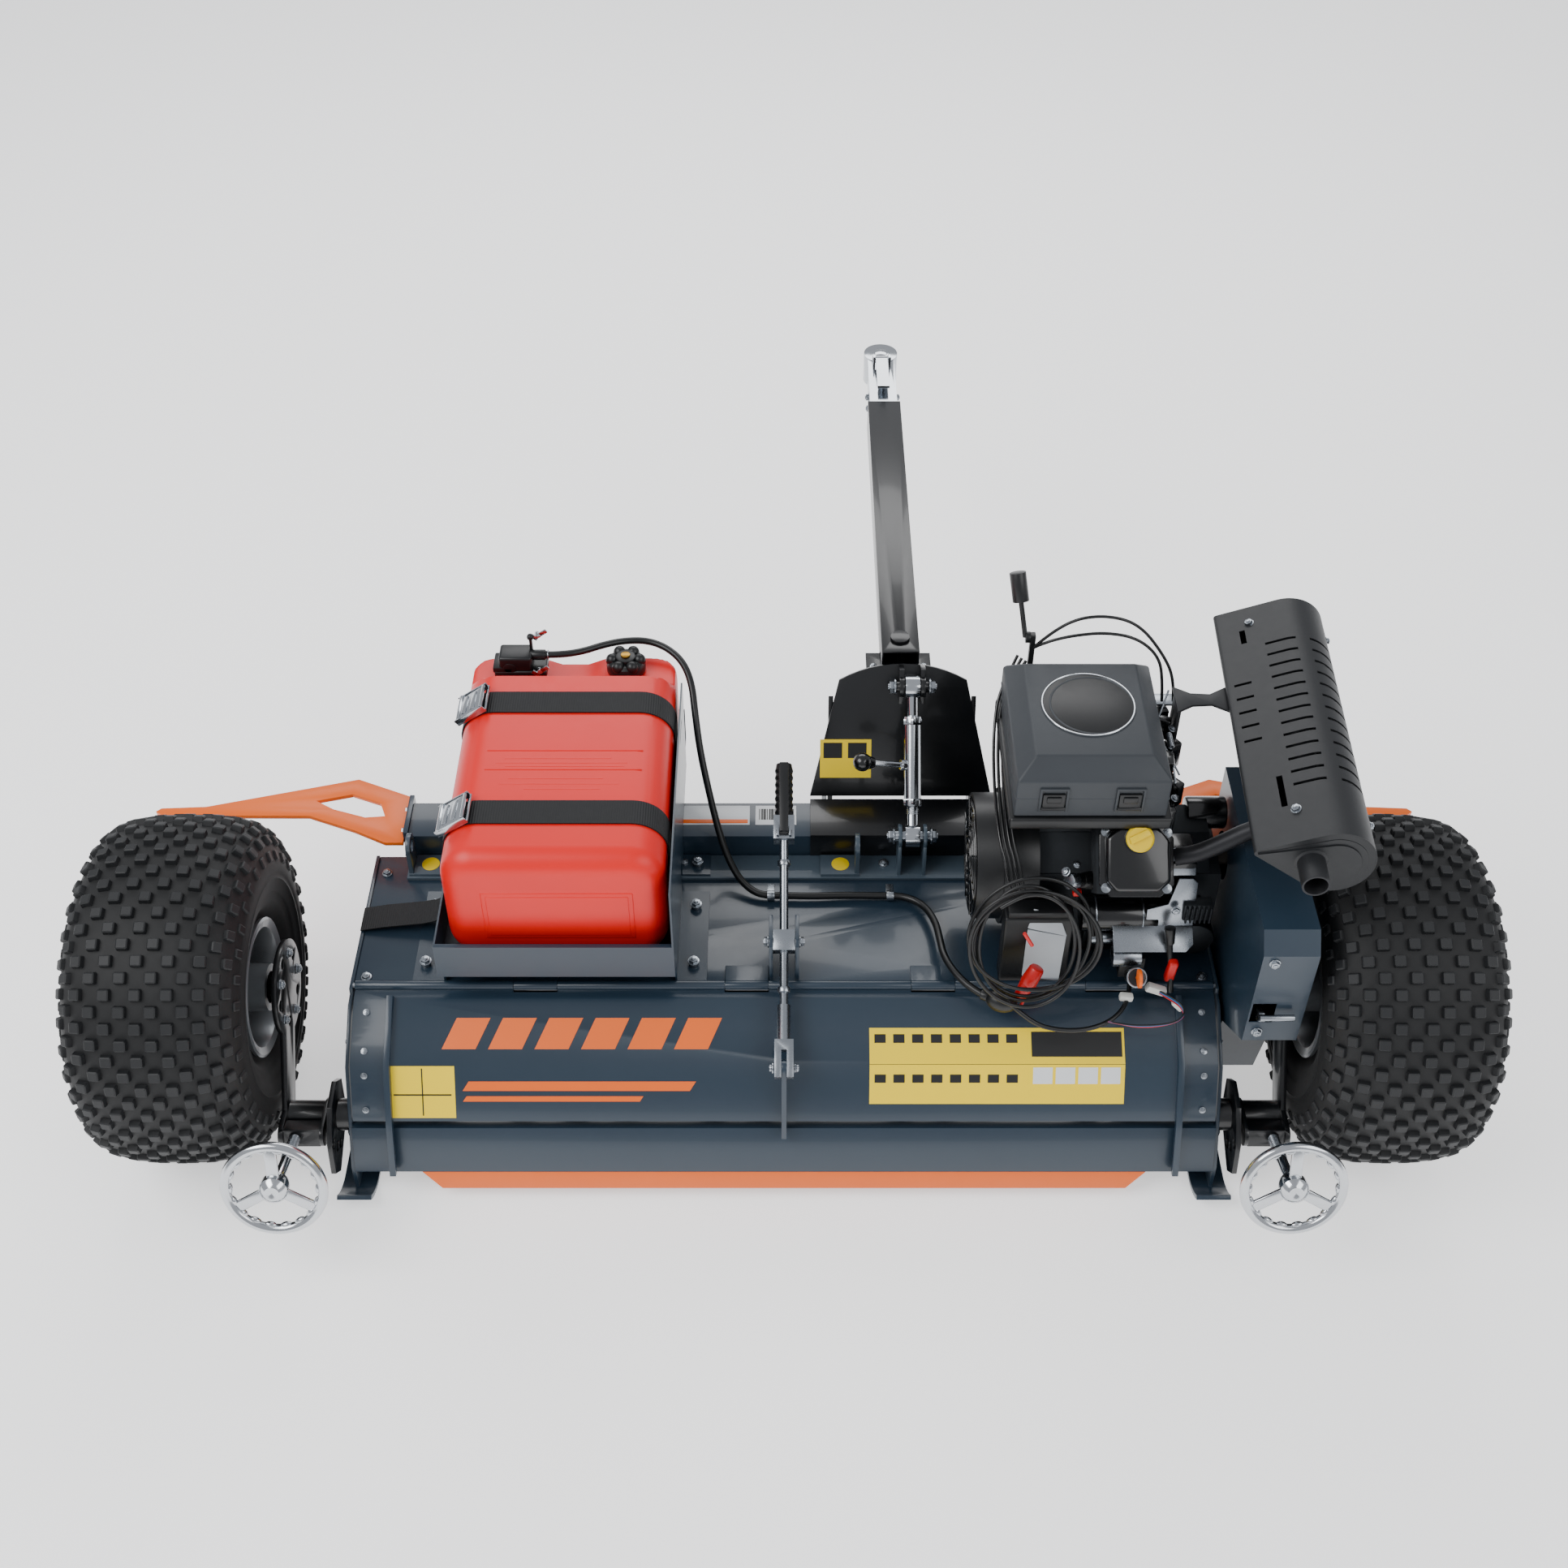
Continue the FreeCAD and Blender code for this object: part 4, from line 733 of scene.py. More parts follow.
@dataclass
class Hood:
    """The rear hood with its plain decals."""

    frame: dict
    upper: tuple = ((-25, 279.0), (-115, 227.0))
    lower: tuple = ((-115, 227.0), (-165, 144.0))

    def on(self, face: tuple, x: float, share: float, lift: float = 0.25) -> tuple[Vector, Vector, Vector]:
        """A place on a slope, with the slope's up direction and its normal.

        Args:
            face: Lower and upper ends of the slope, in Y and Z.
            x: Place across the hood.
            share: Place up the slope, from 0 to 1.
            lift: Height above the sheet, in mm.

        Returns:
            The place, the up direction and the normal.
        """
        (y1, z1), (y2, z2) = face
        up = Vector((0, y1 - y2, z1 - z2)).normalized()
        normal = X.cross(up)
        return Vector((x, y2 + (y1 - y2) * share, z2 + (z1 - z2) * share)) + normal * lift, up, normal

    def film(self, shape: Shape, face: tuple, outline: Sequence[tuple], lift: float = 0.25) -> None:
        """Lay a film on a slope; the outline is in millimetres along X and up the slope.

        Args:
            shape: The shape that it joins.
            face: The slope.
            outline: Its corners.
            lift: Height above the sheet, in mm.
        """
        origin, up, _ = self.on(face, 0, 0, lift)
        shape.plate(outline, origin, X, up, 0.3, edge=0)

    def stripes(self) -> None:
        """A row of slanted orange bars, and a thin bar below it."""
        shape = Shape()
        for index in range(6):
            left = -545 + index * 74
            self.film(shape, self.upper, [(left, 24), (left + 54, 24), (left + 76, 74), (left + 22, 74)])
        self.film(shape, self.lower, [(-512, 52), (-150, 52), (-140, 68), (-502, 68)])
        self.film(shape, self.lower, [(-512, 34), (-230, 34), (-224, 43), (-506, 43)])
        shape.piece("hood_stripes", ORANGE_VINYL, "hood")

    def panels(self) -> None:
        """Blank yellow and black films in place of the printed ones."""
        yellow = Shape()
        self.film(yellow, self.lower, [(-628, 6), (-524, 6), (-524, 94), (-628, 94)])
        self.film(yellow, self.lower, [(136, 30), (542, 30), (542, 96.6), (136, 96.6)])
        self.film(yellow, self.upper, [(136, 0.4), (542, 0.4), (542, 58), (136, 58)])
        yellow.piece("hood_films_yellow", YELLOW_VINYL, "hood")
        black = Shape()
        self.film(black, self.lower, [(-622, 44), (-530, 44), (-530, 46.5), (-622, 46.5)], 0.5)
        self.film(black, self.lower, [(-577, 10), (-575, 10), (-575, 90), (-577, 90)], 0.5)
        self.film(black, self.upper, [(394, 12), (538, 12), (538, 52), (394, 52)], 0.5)
        for index in range(8):
            left = 144 + index * 30
            self.film(black, self.upper, [(left, 34), (left + 18, 34), (left + 18, 48), (left, 48)], 0.5)
            self.film(black, self.lower, [(left, 66), (left + 18, 66), (left + 18, 80), (left, 80)], 0.5)
        black.piece("hood_films_black", BLACK_VINYL, "hood")
        white = Shape()
        for index in range(4):
            left = 396 + index * 36
            self.film(white, self.lower, [(left, 64), (left + 31, 64), (left + 31, 92), (left, 92)], 0.5)
        white.piece("hood_films_white", WHITE_VINYL, "hood")

    def build(self) -> None:
        """Build the hood's looks."""
        dress(self.frame, "hood_panel", SLATE_COAT, 0.8)
        self.stripes()
        self.panels()
        bolts = Shape()
        for side in (-1, 1):
            for share in (0.2, 0.8):
                for face in (self.upper, self.lower):
                    place, _, normal = self.on(face, side * 668, share)
                    bolts.bolt(place, normal, size=5)
        bolts.piece("hood_bolts", ZINC, "hood")


@dataclass
class Adjuster:
    """The rod that props the hood, with its trunnion, grip and trigger."""

    frame: dict
    pin: Vector = field(default_factory=lambda: Vector((0, -142, 253)))
    trunnion: Vector = field(default_factory=lambda: Vector((0, 40, 345)))

    def build(self) -> None:
        """Dress the rod and add its collars, pins and ribbed grip."""
        along = (self.trunnion - self.pin).normalized()
        dress(self.frame, "adjuster_trunnion", ZINC, 1.2)
        dress(self.frame, "adjuster_rod", ZINC, 1.0)
        dress(self.frame, "adjuster_trigger", BLACK_NYLON, 2.5)
        grip = Shape()
        outline = [(0, 7.5), (0, 14)] + [(3 + 6 * i, 15.4 if i % 2 else 13.6) for i in range(15)] + [(92,
                                                                                                      13),
                                                                                                     (94,
                                                                                                      7.5)]
        grip.lathe(outline, self.pin + along * 412.3, along, 40)
        grip.piece("adjuster_grip_ribbed", HOSE_RUBBER, "adjuster_rod", ["adjuster_grip"])
        pins = Shape()
        for side in (-1, 1):
            pins.bolt(self.trunnion + X * side * 24.6, X * side, size=9)
        pins.piece("trunnion_nuts", ZINC, "adjuster_swivel")
        collars = Shape()
        for place in (120, 210, 330):
            collars.post(10.5, 9, self.pin + along * place, along, sides=28, edge=1)
        collars.piece("adjuster_collars", ZINC, "adjuster_rod")
        clevis = Shape()
        clevis.post(5.8, 46, self.pin - X * 23, X, sides=24, edge=0.5).bolt(self.pin + X * 16.5, X, size=7)
        clevis.post(9, 3, self.pin - X * 19, X, sides=24)
        clevis.piece("hood_clevis_pin", ZINC, "hood")


# ---------------------------------------------------------------- wheels

@dataclass
class Wheel:
    """One knobbly wheel with its arm and handwheel; side is -1 for left and 1 for right."""

    frame: dict
    side: int
    centre_x: float = 955.0
    pitches: int = 34

    @property
    def label(self) -> str:
        """The side's name."""
        return "left" if self.side < 0 else "right"

    @property
    def hub(self) -> Vector:
        """The wheel's middle."""
        return Vector((self.side * self.centre_x, 0, 280))

    def carcass(self) -> None:
        """The tyre's body: crown, shoulders, ribbed walls and beads."""
        half = [(0, 270.5), (50, 268.8), (90, 261.5), (112, 249), (126, 229), (133.5, 206), (136, 186),
                (134.5, 184),
                (135.6, 176), (133, 174), (131, 156), (128.6, 154), (126, 141), (120, 130), (108, 118),
                (104.5, 112), (104, 102)]
        outline = [(-x, r) for x, r in reversed(half)] + half[1:]
        outline += [(86, 102), (100, 126), (121, 172), (118, 213), (104, 240), (80, 250), (0, 255)]
        outline += [(-80, 250), (-104, 240), (-118, 213), (-121, 172), (-100, 126), (-86, 102)]
        shape = Shape().lathe(outline, self.hub, X, 96, closed=True)
        # the carcass finish is darker than the tread: painted shade between the tread blocks
        shape.piece(f"tyre_{self.label}_carcass", CARCASS_RUBBER_SHADED, f"wheel_{self.label}",
                    [f"tyre_{self.label}"], crease=50)

    def knob(self, along: float, radius: float, lean: float, size: tuple, tall: float) -> Shape:
        """One tapered tread block at a place across the crown, leaning outwards by an angle in degrees.

        Args:
            along: Place along the wheel's axis.
            radius: Radius of its foot.
            lean: Outward lean in degrees.
            size: Width and depth in mm.
            tall: Height in mm.

        Returns:
            A shape that holds the block.
        """
        shape = Shape()
        block = bmesh.new()
        bmesh.ops.create_cone(block, cap_ends=True, segments=4, radius1=0.7071, radius2=0.60, depth=1.0)
        bmesh.ops.rotate(block, matrix=Matrix.Rotation(math.radians(45), 3, "Z"), verts=block.verts)
        bmesh.ops.scale(block, vec=(size[0], size[1], tall + 3), verts=block.verts)
        top = [e for e in block.edges if e.verts[0].co.z > 0 or e.verts[1].co.z > 0]
        bmesh.ops.bevel(block, geom=top, offset=1.6, segments=1, profile=0.5, affect="EDGES", material=-1,
                        clamp_overlap=True)
        bmesh.ops.translate(block, vec=(0, 0, (tall + 3) / 2 - 3), verts=block.verts)
        matrix = Matrix.Translation(self.hub + Vector((along, 0,
                                                       radius))) @ Matrix.Rotation(math.radians(lean), 4, "Y")
        shape.take(block, matrix)
        return shape

    def tread(self) -> None:
        """Staggered square blocks over the crown and down both shoulders."""
        pitch = 360 / self.pitches
        inner = [(0, 270.6, 0, (20, 19), 8.8), (46, 269, 4, (20, 19), 8.6), (90, 261.4, 17, (20, 19), 8.2),
                 (122, 236, 54, (19, 18), 6.2)]
        outer = [(23, 270.2, 1, (20, 19), 8.8), (68, 266, 10, (20, 19), 8.6), (109, 251.6, 38, (19, 18), 7.2),
                 (131.6, 212, 71, (19, 16), 3.6)]
        blocks = Shape()
        for stagger, rows in ((0.0, inner), (0.5, outer)):
            for along, radius, lean, size, tall in rows:
                for mirror in ((1,) if along == 0 else (1, -1)):
                    column = self.knob(along * mirror, radius, lean * mirror, size, tall)
                    column.copies(self.pitches, self.hub, X, stagger * pitch)
                    blocks.take(column.bm, Matrix())
        blocks.piece(f"tyre_{self.label}_tread", TYRE_RUBBER, f"wheel_{self.label}", crease=20)

    def rim(self) -> None:
        """The dished steel rim with its flanges, holes' bosses and hub."""
        outline = [(-128, 26), (-128, 38), (-64, 40), (-60, 60), (-58, 92), (-72, 96), (-92, 98),
                   (-104, 101.4), (-110, 101.4),
                   (-113, 112), (-119, 113), (-121, 109), (-117, 97), (-112, 95), (-90, 92), (-66, 88),
                   (-48, 90), (-30, 82),
                   (60, 80), (84, 90), (104, 94), (112, 97), (115, 109), (112, 113), (106, 112),
                   (104, 101.4), (92, 98),
                   (72, 92), (40, 86), (-24, 87), (-40, 93), (-46, 60), (-40, 38), (-40, 26)]
        shape = Shape().lathe([(a * self.side, r) for a, r in outline], self.hub, X, 72, closed=True)
        shape.piece(f"rim_{self.label}_dished", RIM_COAT, f"wheel_{self.label}", [f"wheel_rim_{self.label}"])
        nuts = Shape()
        nuts.bolt(self.hub + X * self.side * -46 + Z * 47, X * -self.side, size=9, washer=False)
        nuts.copies(4, self.hub, X, 45)
        nuts.lathe([(0, 0.1), (0, 24), (8, 24), (22, 20), (28, 12), (29, 0.1)],
                   self.hub - X * self.side * 40, X * self.side, 32)
        nuts.piece(f"hub_{self.label}_nuts", ZINC, f"wheel_{self.label}")

    def arm(self) -> None:
        """The arm's rounded plates and the bolts of its disc."""
        name = f"wheel_arm_{self.label}"
        dress(self.frame, name, BLACK_COAT, 1.0)
        body = f"arm_{self.label}"
        bolts = Shape()
        for index in range(5):
            angle = math.radians(54 + 72 * index)
            spot = Vector((self.side * 797.8, 56 * math.cos(angle), 280 + 56 * math.sin(angle)))
            bolts.bolt(spot, X * -self.side, size=8)
        bolts.piece(f"{body}_bolts", ZINC, body)

    def handwheel(self) -> None:
        """A polished three-spoke handwheel with a scalloped inner edge and its screw."""
        rise = math.radians(21)
        out = Vector((0, -math.cos(rise), math.sin(rise)))
        centre = Vector((self.side * 780, -316, 181))
        turn = toward(out)
        shape = Shape().ring(75, 8, centre, out, 72, 14)
        for index in range(18):
            angle = math.tau * index / 18
            spot = centre + turn @ Vector((67.5 * math.cos(angle), 67.5 * math.sin(angle), 0))
            shape.ball(7.6, spot, (0.6, 1.25, 0.7), turn @ Matrix.Rotation(angle, 4, "Z"), 12)
        for index in range(3):
            angle = math.radians(90 + 120 * index)
            spin = turn @ Matrix.Rotation(angle, 4, "Z")
            shape.slab((54, 19, 6.4), centre + spin @ Vector((42, 0, 0)), spin, 2.4, 3)
        shape.lathe([(-17, 8), (-17, 19), (-8, 22), (7, 22), (13, 18), (17, 12), (17, 4), (15, 0.1)],
                    centre, out, 40)
        shape.post(8.0, 152, centre - out * 169, out, sides=28, edge=1.2)
        shape.piece(f"handwheel_{self.label}_polished", POLISHED, f"handwheel_{self.label}",
                    [f"handwheel_{self.label}"])
        screw = Shape()
        for index in range(34):
            screw.ring(8.1, 0.9, centre - out * (165 - index * 2.6), out, 20, 6)
        screw.piece(f"handwheel_{self.label}_thread", ZINC, f"handwheel_{self.label}")

    def build(self) -> None:
        """Build this side's wheel, arm and handwheel."""
        self.carcass()
        self.tread()
        self.rim()
        self.arm()
        self.handwheel()


# ---------------------------------------------------------------- fuel tank

@dataclass
class FuelTank:
    """The strapped tank with its cap, outlet, buckles and hose."""

    frame: dict
    left: float = -530.0
    right: float = -182.0
    rear: float = 5.0
    front: float = 520.0
    base: float = 338.0
    top: float = 568.0
    strap_rows: tuple = (("rear", 109.0), ("front", 364.0))

    def shell(self) -> None:
        """The blow-moulded body: round edges, a saddle at the front and a pressed rear panel."""
        size = Vector((self.right - self.left, self.front - self.rear, self.top - self.base))
        middle = Vector((self.left + self.right, self.rear + self.front, self.base + self.top)) / 2
        shape = Shape()
        bm = shape.bm
        bmesh.ops.create_cube(bm, size=1.0)
        bmesh.ops.scale(bm, vec=size, verts=bm.verts)
        bmesh.ops.translate(bm, vec=middle, verts=bm.verts)
        lengthwise = [e for e in bm.edges if abs(e.verts[0].co.y - e.verts[1].co.y) > 5]
        shape.round_edges(bm, lengthwise, 55, 10)
        ends = [e for e in bm.edges if abs(e.verts[0].co.y - e.verts[1].co.y) < 0.01 and
                {round(v.co.y) for v in e.verts} <= {round(self.rear), round(self.front)}]
        shape.round_edges(bm, ends, 34, 7)
        for place in (432.0, 438.0, 444.0, 449.0, 456.0):
            bmesh.ops.bisect_plane(bm, geom=bm.verts[:] + bm.edges[:] + bm.faces[:], plane_co=(0, place, 0),
                                   plane_no=Y)
        for place in (-412.0, -396.0, -380.0, -336.0, -320.0, -304.0):
            bmesh.ops.bisect_plane(bm, geom=bm.verts[:] + bm.edges[:] + bm.faces[:], plane_co=(place, 0, 0),
                                   plane_no=X)
        for vert in bm.verts:
            share = min(max((vert.co.y - 431) / 20, 0.0), 1.0)
            ease = share * share * (3 - 2 * share)
            dip = min(max((56 - abs(vert.co.x + 358)) / 34, 0.0), 1.0)
            limit = self.top - (36.4 + 14 * dip) * ease
            vert.co.z = min(vert.co.z, limit)
        bmesh.ops.remove_doubles(bm, verts=bm.verts, dist=0.05)
        shape.slab((236, 5, 104), (-350, 6.2, 446), None, 2.4, 3).slab((222, 5, 90), (-350, 5.2, 446), None,
                                                                       2.4, 3)
        shape.piece("tank_shell", RED_HDPE, "deck", ["fuel_tank"], crease=44)
        rules = Shape()
        for y, width in ((206, 250), (250, 250)):
            rules.slab((width, 1.8, 1.6), (-350, y, self.top), None, 0.7, 2)
        for row, (y, width) in enumerate(((186, 150), (174, 190), (162, 120), (232, 170), (222, 210),
                                          (214, 190))):
            rules.slab((width, 2.4, 0.7), (-360 + 6 * (row % 3), y, self.top), None, 0.3, 1)
        rules.piece("tank_raised_rules", RED_HDPE, "deck")

    def straps(self) -> None:
        """The ribbed webbing, its loose tail and its buckles."""
        for label, y in self.strap_rows:
            self.ribbon(f"strap_{label}", self.around(), y - 25, ["tank_straps"])
            self.buckle(label, y)
        tail = [Vector((x, 0, z)) for x, z in ((-552, 330), (-560, 316), (-574, 307), (-596, 301),
                                               (-626, 297), (-662, 292), (-700, 284))]
        self.ribbon("strap_loose_end", tail, 116)

    def around(self) -> list:
        """The line that a strap follows: up the left side, over the top and down the right side.

        Returns:
            Its places in X and Z.
        """
        gap, bend, steps = 0.7, 55.7, 10
        line = [Vector((self.left - gap, 0, self.base - 4)), Vector((self.left - gap, 0, self.top - 55))]
        for first, middle in ((180, self.left + 55), (90, self.right - 55)):
            for index in range(steps + 1):
                angle = math.radians(first - 90 * index / steps)
                line.append(Vector((middle + bend * math.cos(angle), 0,
                                    self.top - 55 + bend * math.sin(angle))))
        line.append(Vector((self.right + gap, 0, self.base + 40)))
        return [p for p, q in zip(line, line[1:] + [line[0]]) if (p - q).length > 0.01]

    def ribbon(self, name: str, line: list, low_y: float, stands_for: Sequence[str] = ()) -> None:
        """Lay 50 mm webbing along a line, with a UV in metres along its length.

        Args:
            name: The piece's name.
            line: Its places in X and Z.
            low_y: Where its rear edge lies.
            stands_for: CAD nodes that it replaces.
        """
        shape = Shape()
        bm = shape.bm
        verts = [bm.verts.new(p + Y * low_y) for p in line]
        edges = [bm.edges.new(pair) for pair in zip(verts, verts[1:])]
        grown = bmesh.ops.extrude_edge_only(bm, edges=edges)["geom"]
        bmesh.ops.translate(bm, vec=Y * 50, verts=[v for v in grown if isinstance(v, bmesh.types.BMVert)])
        run = [0.0]
        for a, b in zip(line, line[1:]):
            run.append(run[-1] + (b - a).length)
        layer = bm.loops.layers.uv.new("along")
        for face in bm.faces:
            for loop in face.loops:
                co = loop.vert.co
                near = min(range(len(line)), key=lambda i: (line[i] - Vector((co.x, 0, co.z))).length)
                loop[layer].uv = ((co.y - low_y) * MM, run[near] * MM)
        bmesh.ops.recalc_face_normals(bm, faces=bm.faces)
        bm.normal_update()
        # the extrusion gives its faces in no fixed order, so the side to thicken is read at the line's start
        start = (line[0] + line[1]) / 2 + Y * (low_y + 25)
        first = min(bm.faces, key=lambda face: (face.calc_center_median() - start).length)
        if first.normal.x > 0:
            bmesh.ops.reverse_faces(bm, faces=bm.faces)
        piece = shape.piece(name, WEBBING, "deck", stands_for, crease=60)
        wall = piece.modifiers.new("wall", "SOLIDIFY")
        wall.thickness = 2.2 * MM
        wall.offset = 1.0

    def buckle(self, label: str, y: float) -> None:
        """The chromed cam buckle on the tank's upper left edge.

        Args:
            label: Which strap it closes.
            y: The strap's middle.
        """
        angle = math.radians(125)
        spot = Vector((self.left + 55 + math.cos(angle) * 58.1, y, self.top - 55 + math.sin(angle) * 58.1))
        turn = Matrix.Rotation(math.radians(-35), 4, "Y")
        shape = Shape()
        for x in (-28, 28):
            shape.slab((6, 58, 4), spot + turn @ Vector((x, 0, 3.4)), turn, 1.4, 2)
        for side in (-28.5, 28.5):
            shape.slab((60, 2, 13), spot + turn @ Vector((-1, side, 6)), turn, 0.8, 2)
        shape.post(3, 58, spot + turn @ Vector((8, -29, 7)), Y, sides=16)
        shape.post(4, 58, spot + turn @ Vector((-24, -29, 10)), Y, sides=16)
        shape.piece(f"buckle_{label}_frame", CHROME, "deck", ["strap_buckles"])
        lever = Shape()
        lever.slab((52, 52, 2.2), spot + turn @ Vector((-1, 0, 10.3)), turn, 0.9, 2)
        lever.slab((5, 52, 5), spot + turn @ Vector((24.5, 0, 11.2)), turn, 1.6, 2)
        lever.slab((10, 40, 1.6), spot + turn @ Vector((6, 0, 12.0)), turn, 0.7, 2)
        lever.slab((10, 40, 1.6), spot + turn @ Vector((-12, 0, 12.0)), turn, 0.7, 2)
        lever.piece(f"buckle_{label}_lever", CHROME, f"buckle_{label}", [f"buckle_lever_{label}"])

    def cap(self) -> None:
        """The lobed black cap with its brass vent."""
        cap = Shape()
        seat = Vector((-268, 488, 532.4))
        cap.lathe([(0, 5), (0, 31), (4, 33), (14, 33), (22, 30), (26, 24), (26, 5)], seat, Z, 48, closed=True)
        for index in range(6):
            angle = math.tau * index / 6
            cap.ball(11, seat + Vector((23 * math.cos(angle), 23 * math.sin(angle), 22)), (1, 1, 1.1), None,
                     16)
        cap.post(17, 12, seat + Z * 20, Z, edge=2.5)
        cap.piece("fuel_cap_lobed", BLACK_NYLON, "fuel_cap", ["fuel_cap"])
        vent = Shape().post(8, 3, seat + Z * 32, Z, sides=24, edge=0.8)
        vent.piece("fuel_cap_vent", BRASS, "fuel_cap")

    def outlet(self) -> None:
        """The gauge block, its wing screws, lever and hose spigot."""
        shape = Shape()
        shape.slab((88, 46, 18), (-445, 485, 541.4), None, 4, 3)
        shape.slab((56, 40, 30), (-452, 484, 563), None, 5, 3)
        shape.slab((34, 42, 12), (-474, 484, 552), None, 3, 2)
        shape.post(11, 52, (-462, 463, 556), Y, edge=2)
        shape.post(9, 26, (-428, 485, 569), X, edge=1.5).post(7, 36, (-436, 485, 569), X, edge=1)
        shape.slab((5, 8, 40), (-426, 492, 580), None, 1.2, 2)
        shape.ball(6, (-426, 492, 602), sides=16)
        shape.piece("fuel_outlet", BLACK_NYLON, "deck", ["fuel_fitting"])
        wings = Shape()
        for spot in (Vector((-414, 466, 552)), Vector((-416, 503, 600))):
            wings.post(5, 10, spot, (0.5, -1, 0.4), edge=1)
            for side in (-1, 1):
                wings.slab((14, 3, 8), spot + Vector((4 + side * 8, -8, 4 + side * 5)),
                           Matrix.Rotation(math.radians(-35 * side), 4, "Y"), 1.2, 2)
        wings.piece("fuel_outlet_wings", CHROME, "deck")
        clip = Shape()
        for x in (-406, -398):
            clip.ring(7.4, 1.1, (x, 485, 569), X, 28, 8)
        clip.piece("fuel_hose_clip", ZINC, "deck")

    def tray(self) -> None:
        """The painted tray."""
        dress(self.frame, "fuel_tray", SLATE_COAT, 0.8)
        lip = Shape()
        lip.slab((372, 7, 2.2), (-361.5, -20.5, 404), None, 0.8, 2)
        lip.piece("tray_lip", SLATE_COAT, "deck")

    def build(self) -> None:
        """Build the tank and all that holds it."""
        self.tray()
        self.shell()
        self.straps()
        self.cap()
        self.outlet()


# ---------------------------------------------------------------- engine

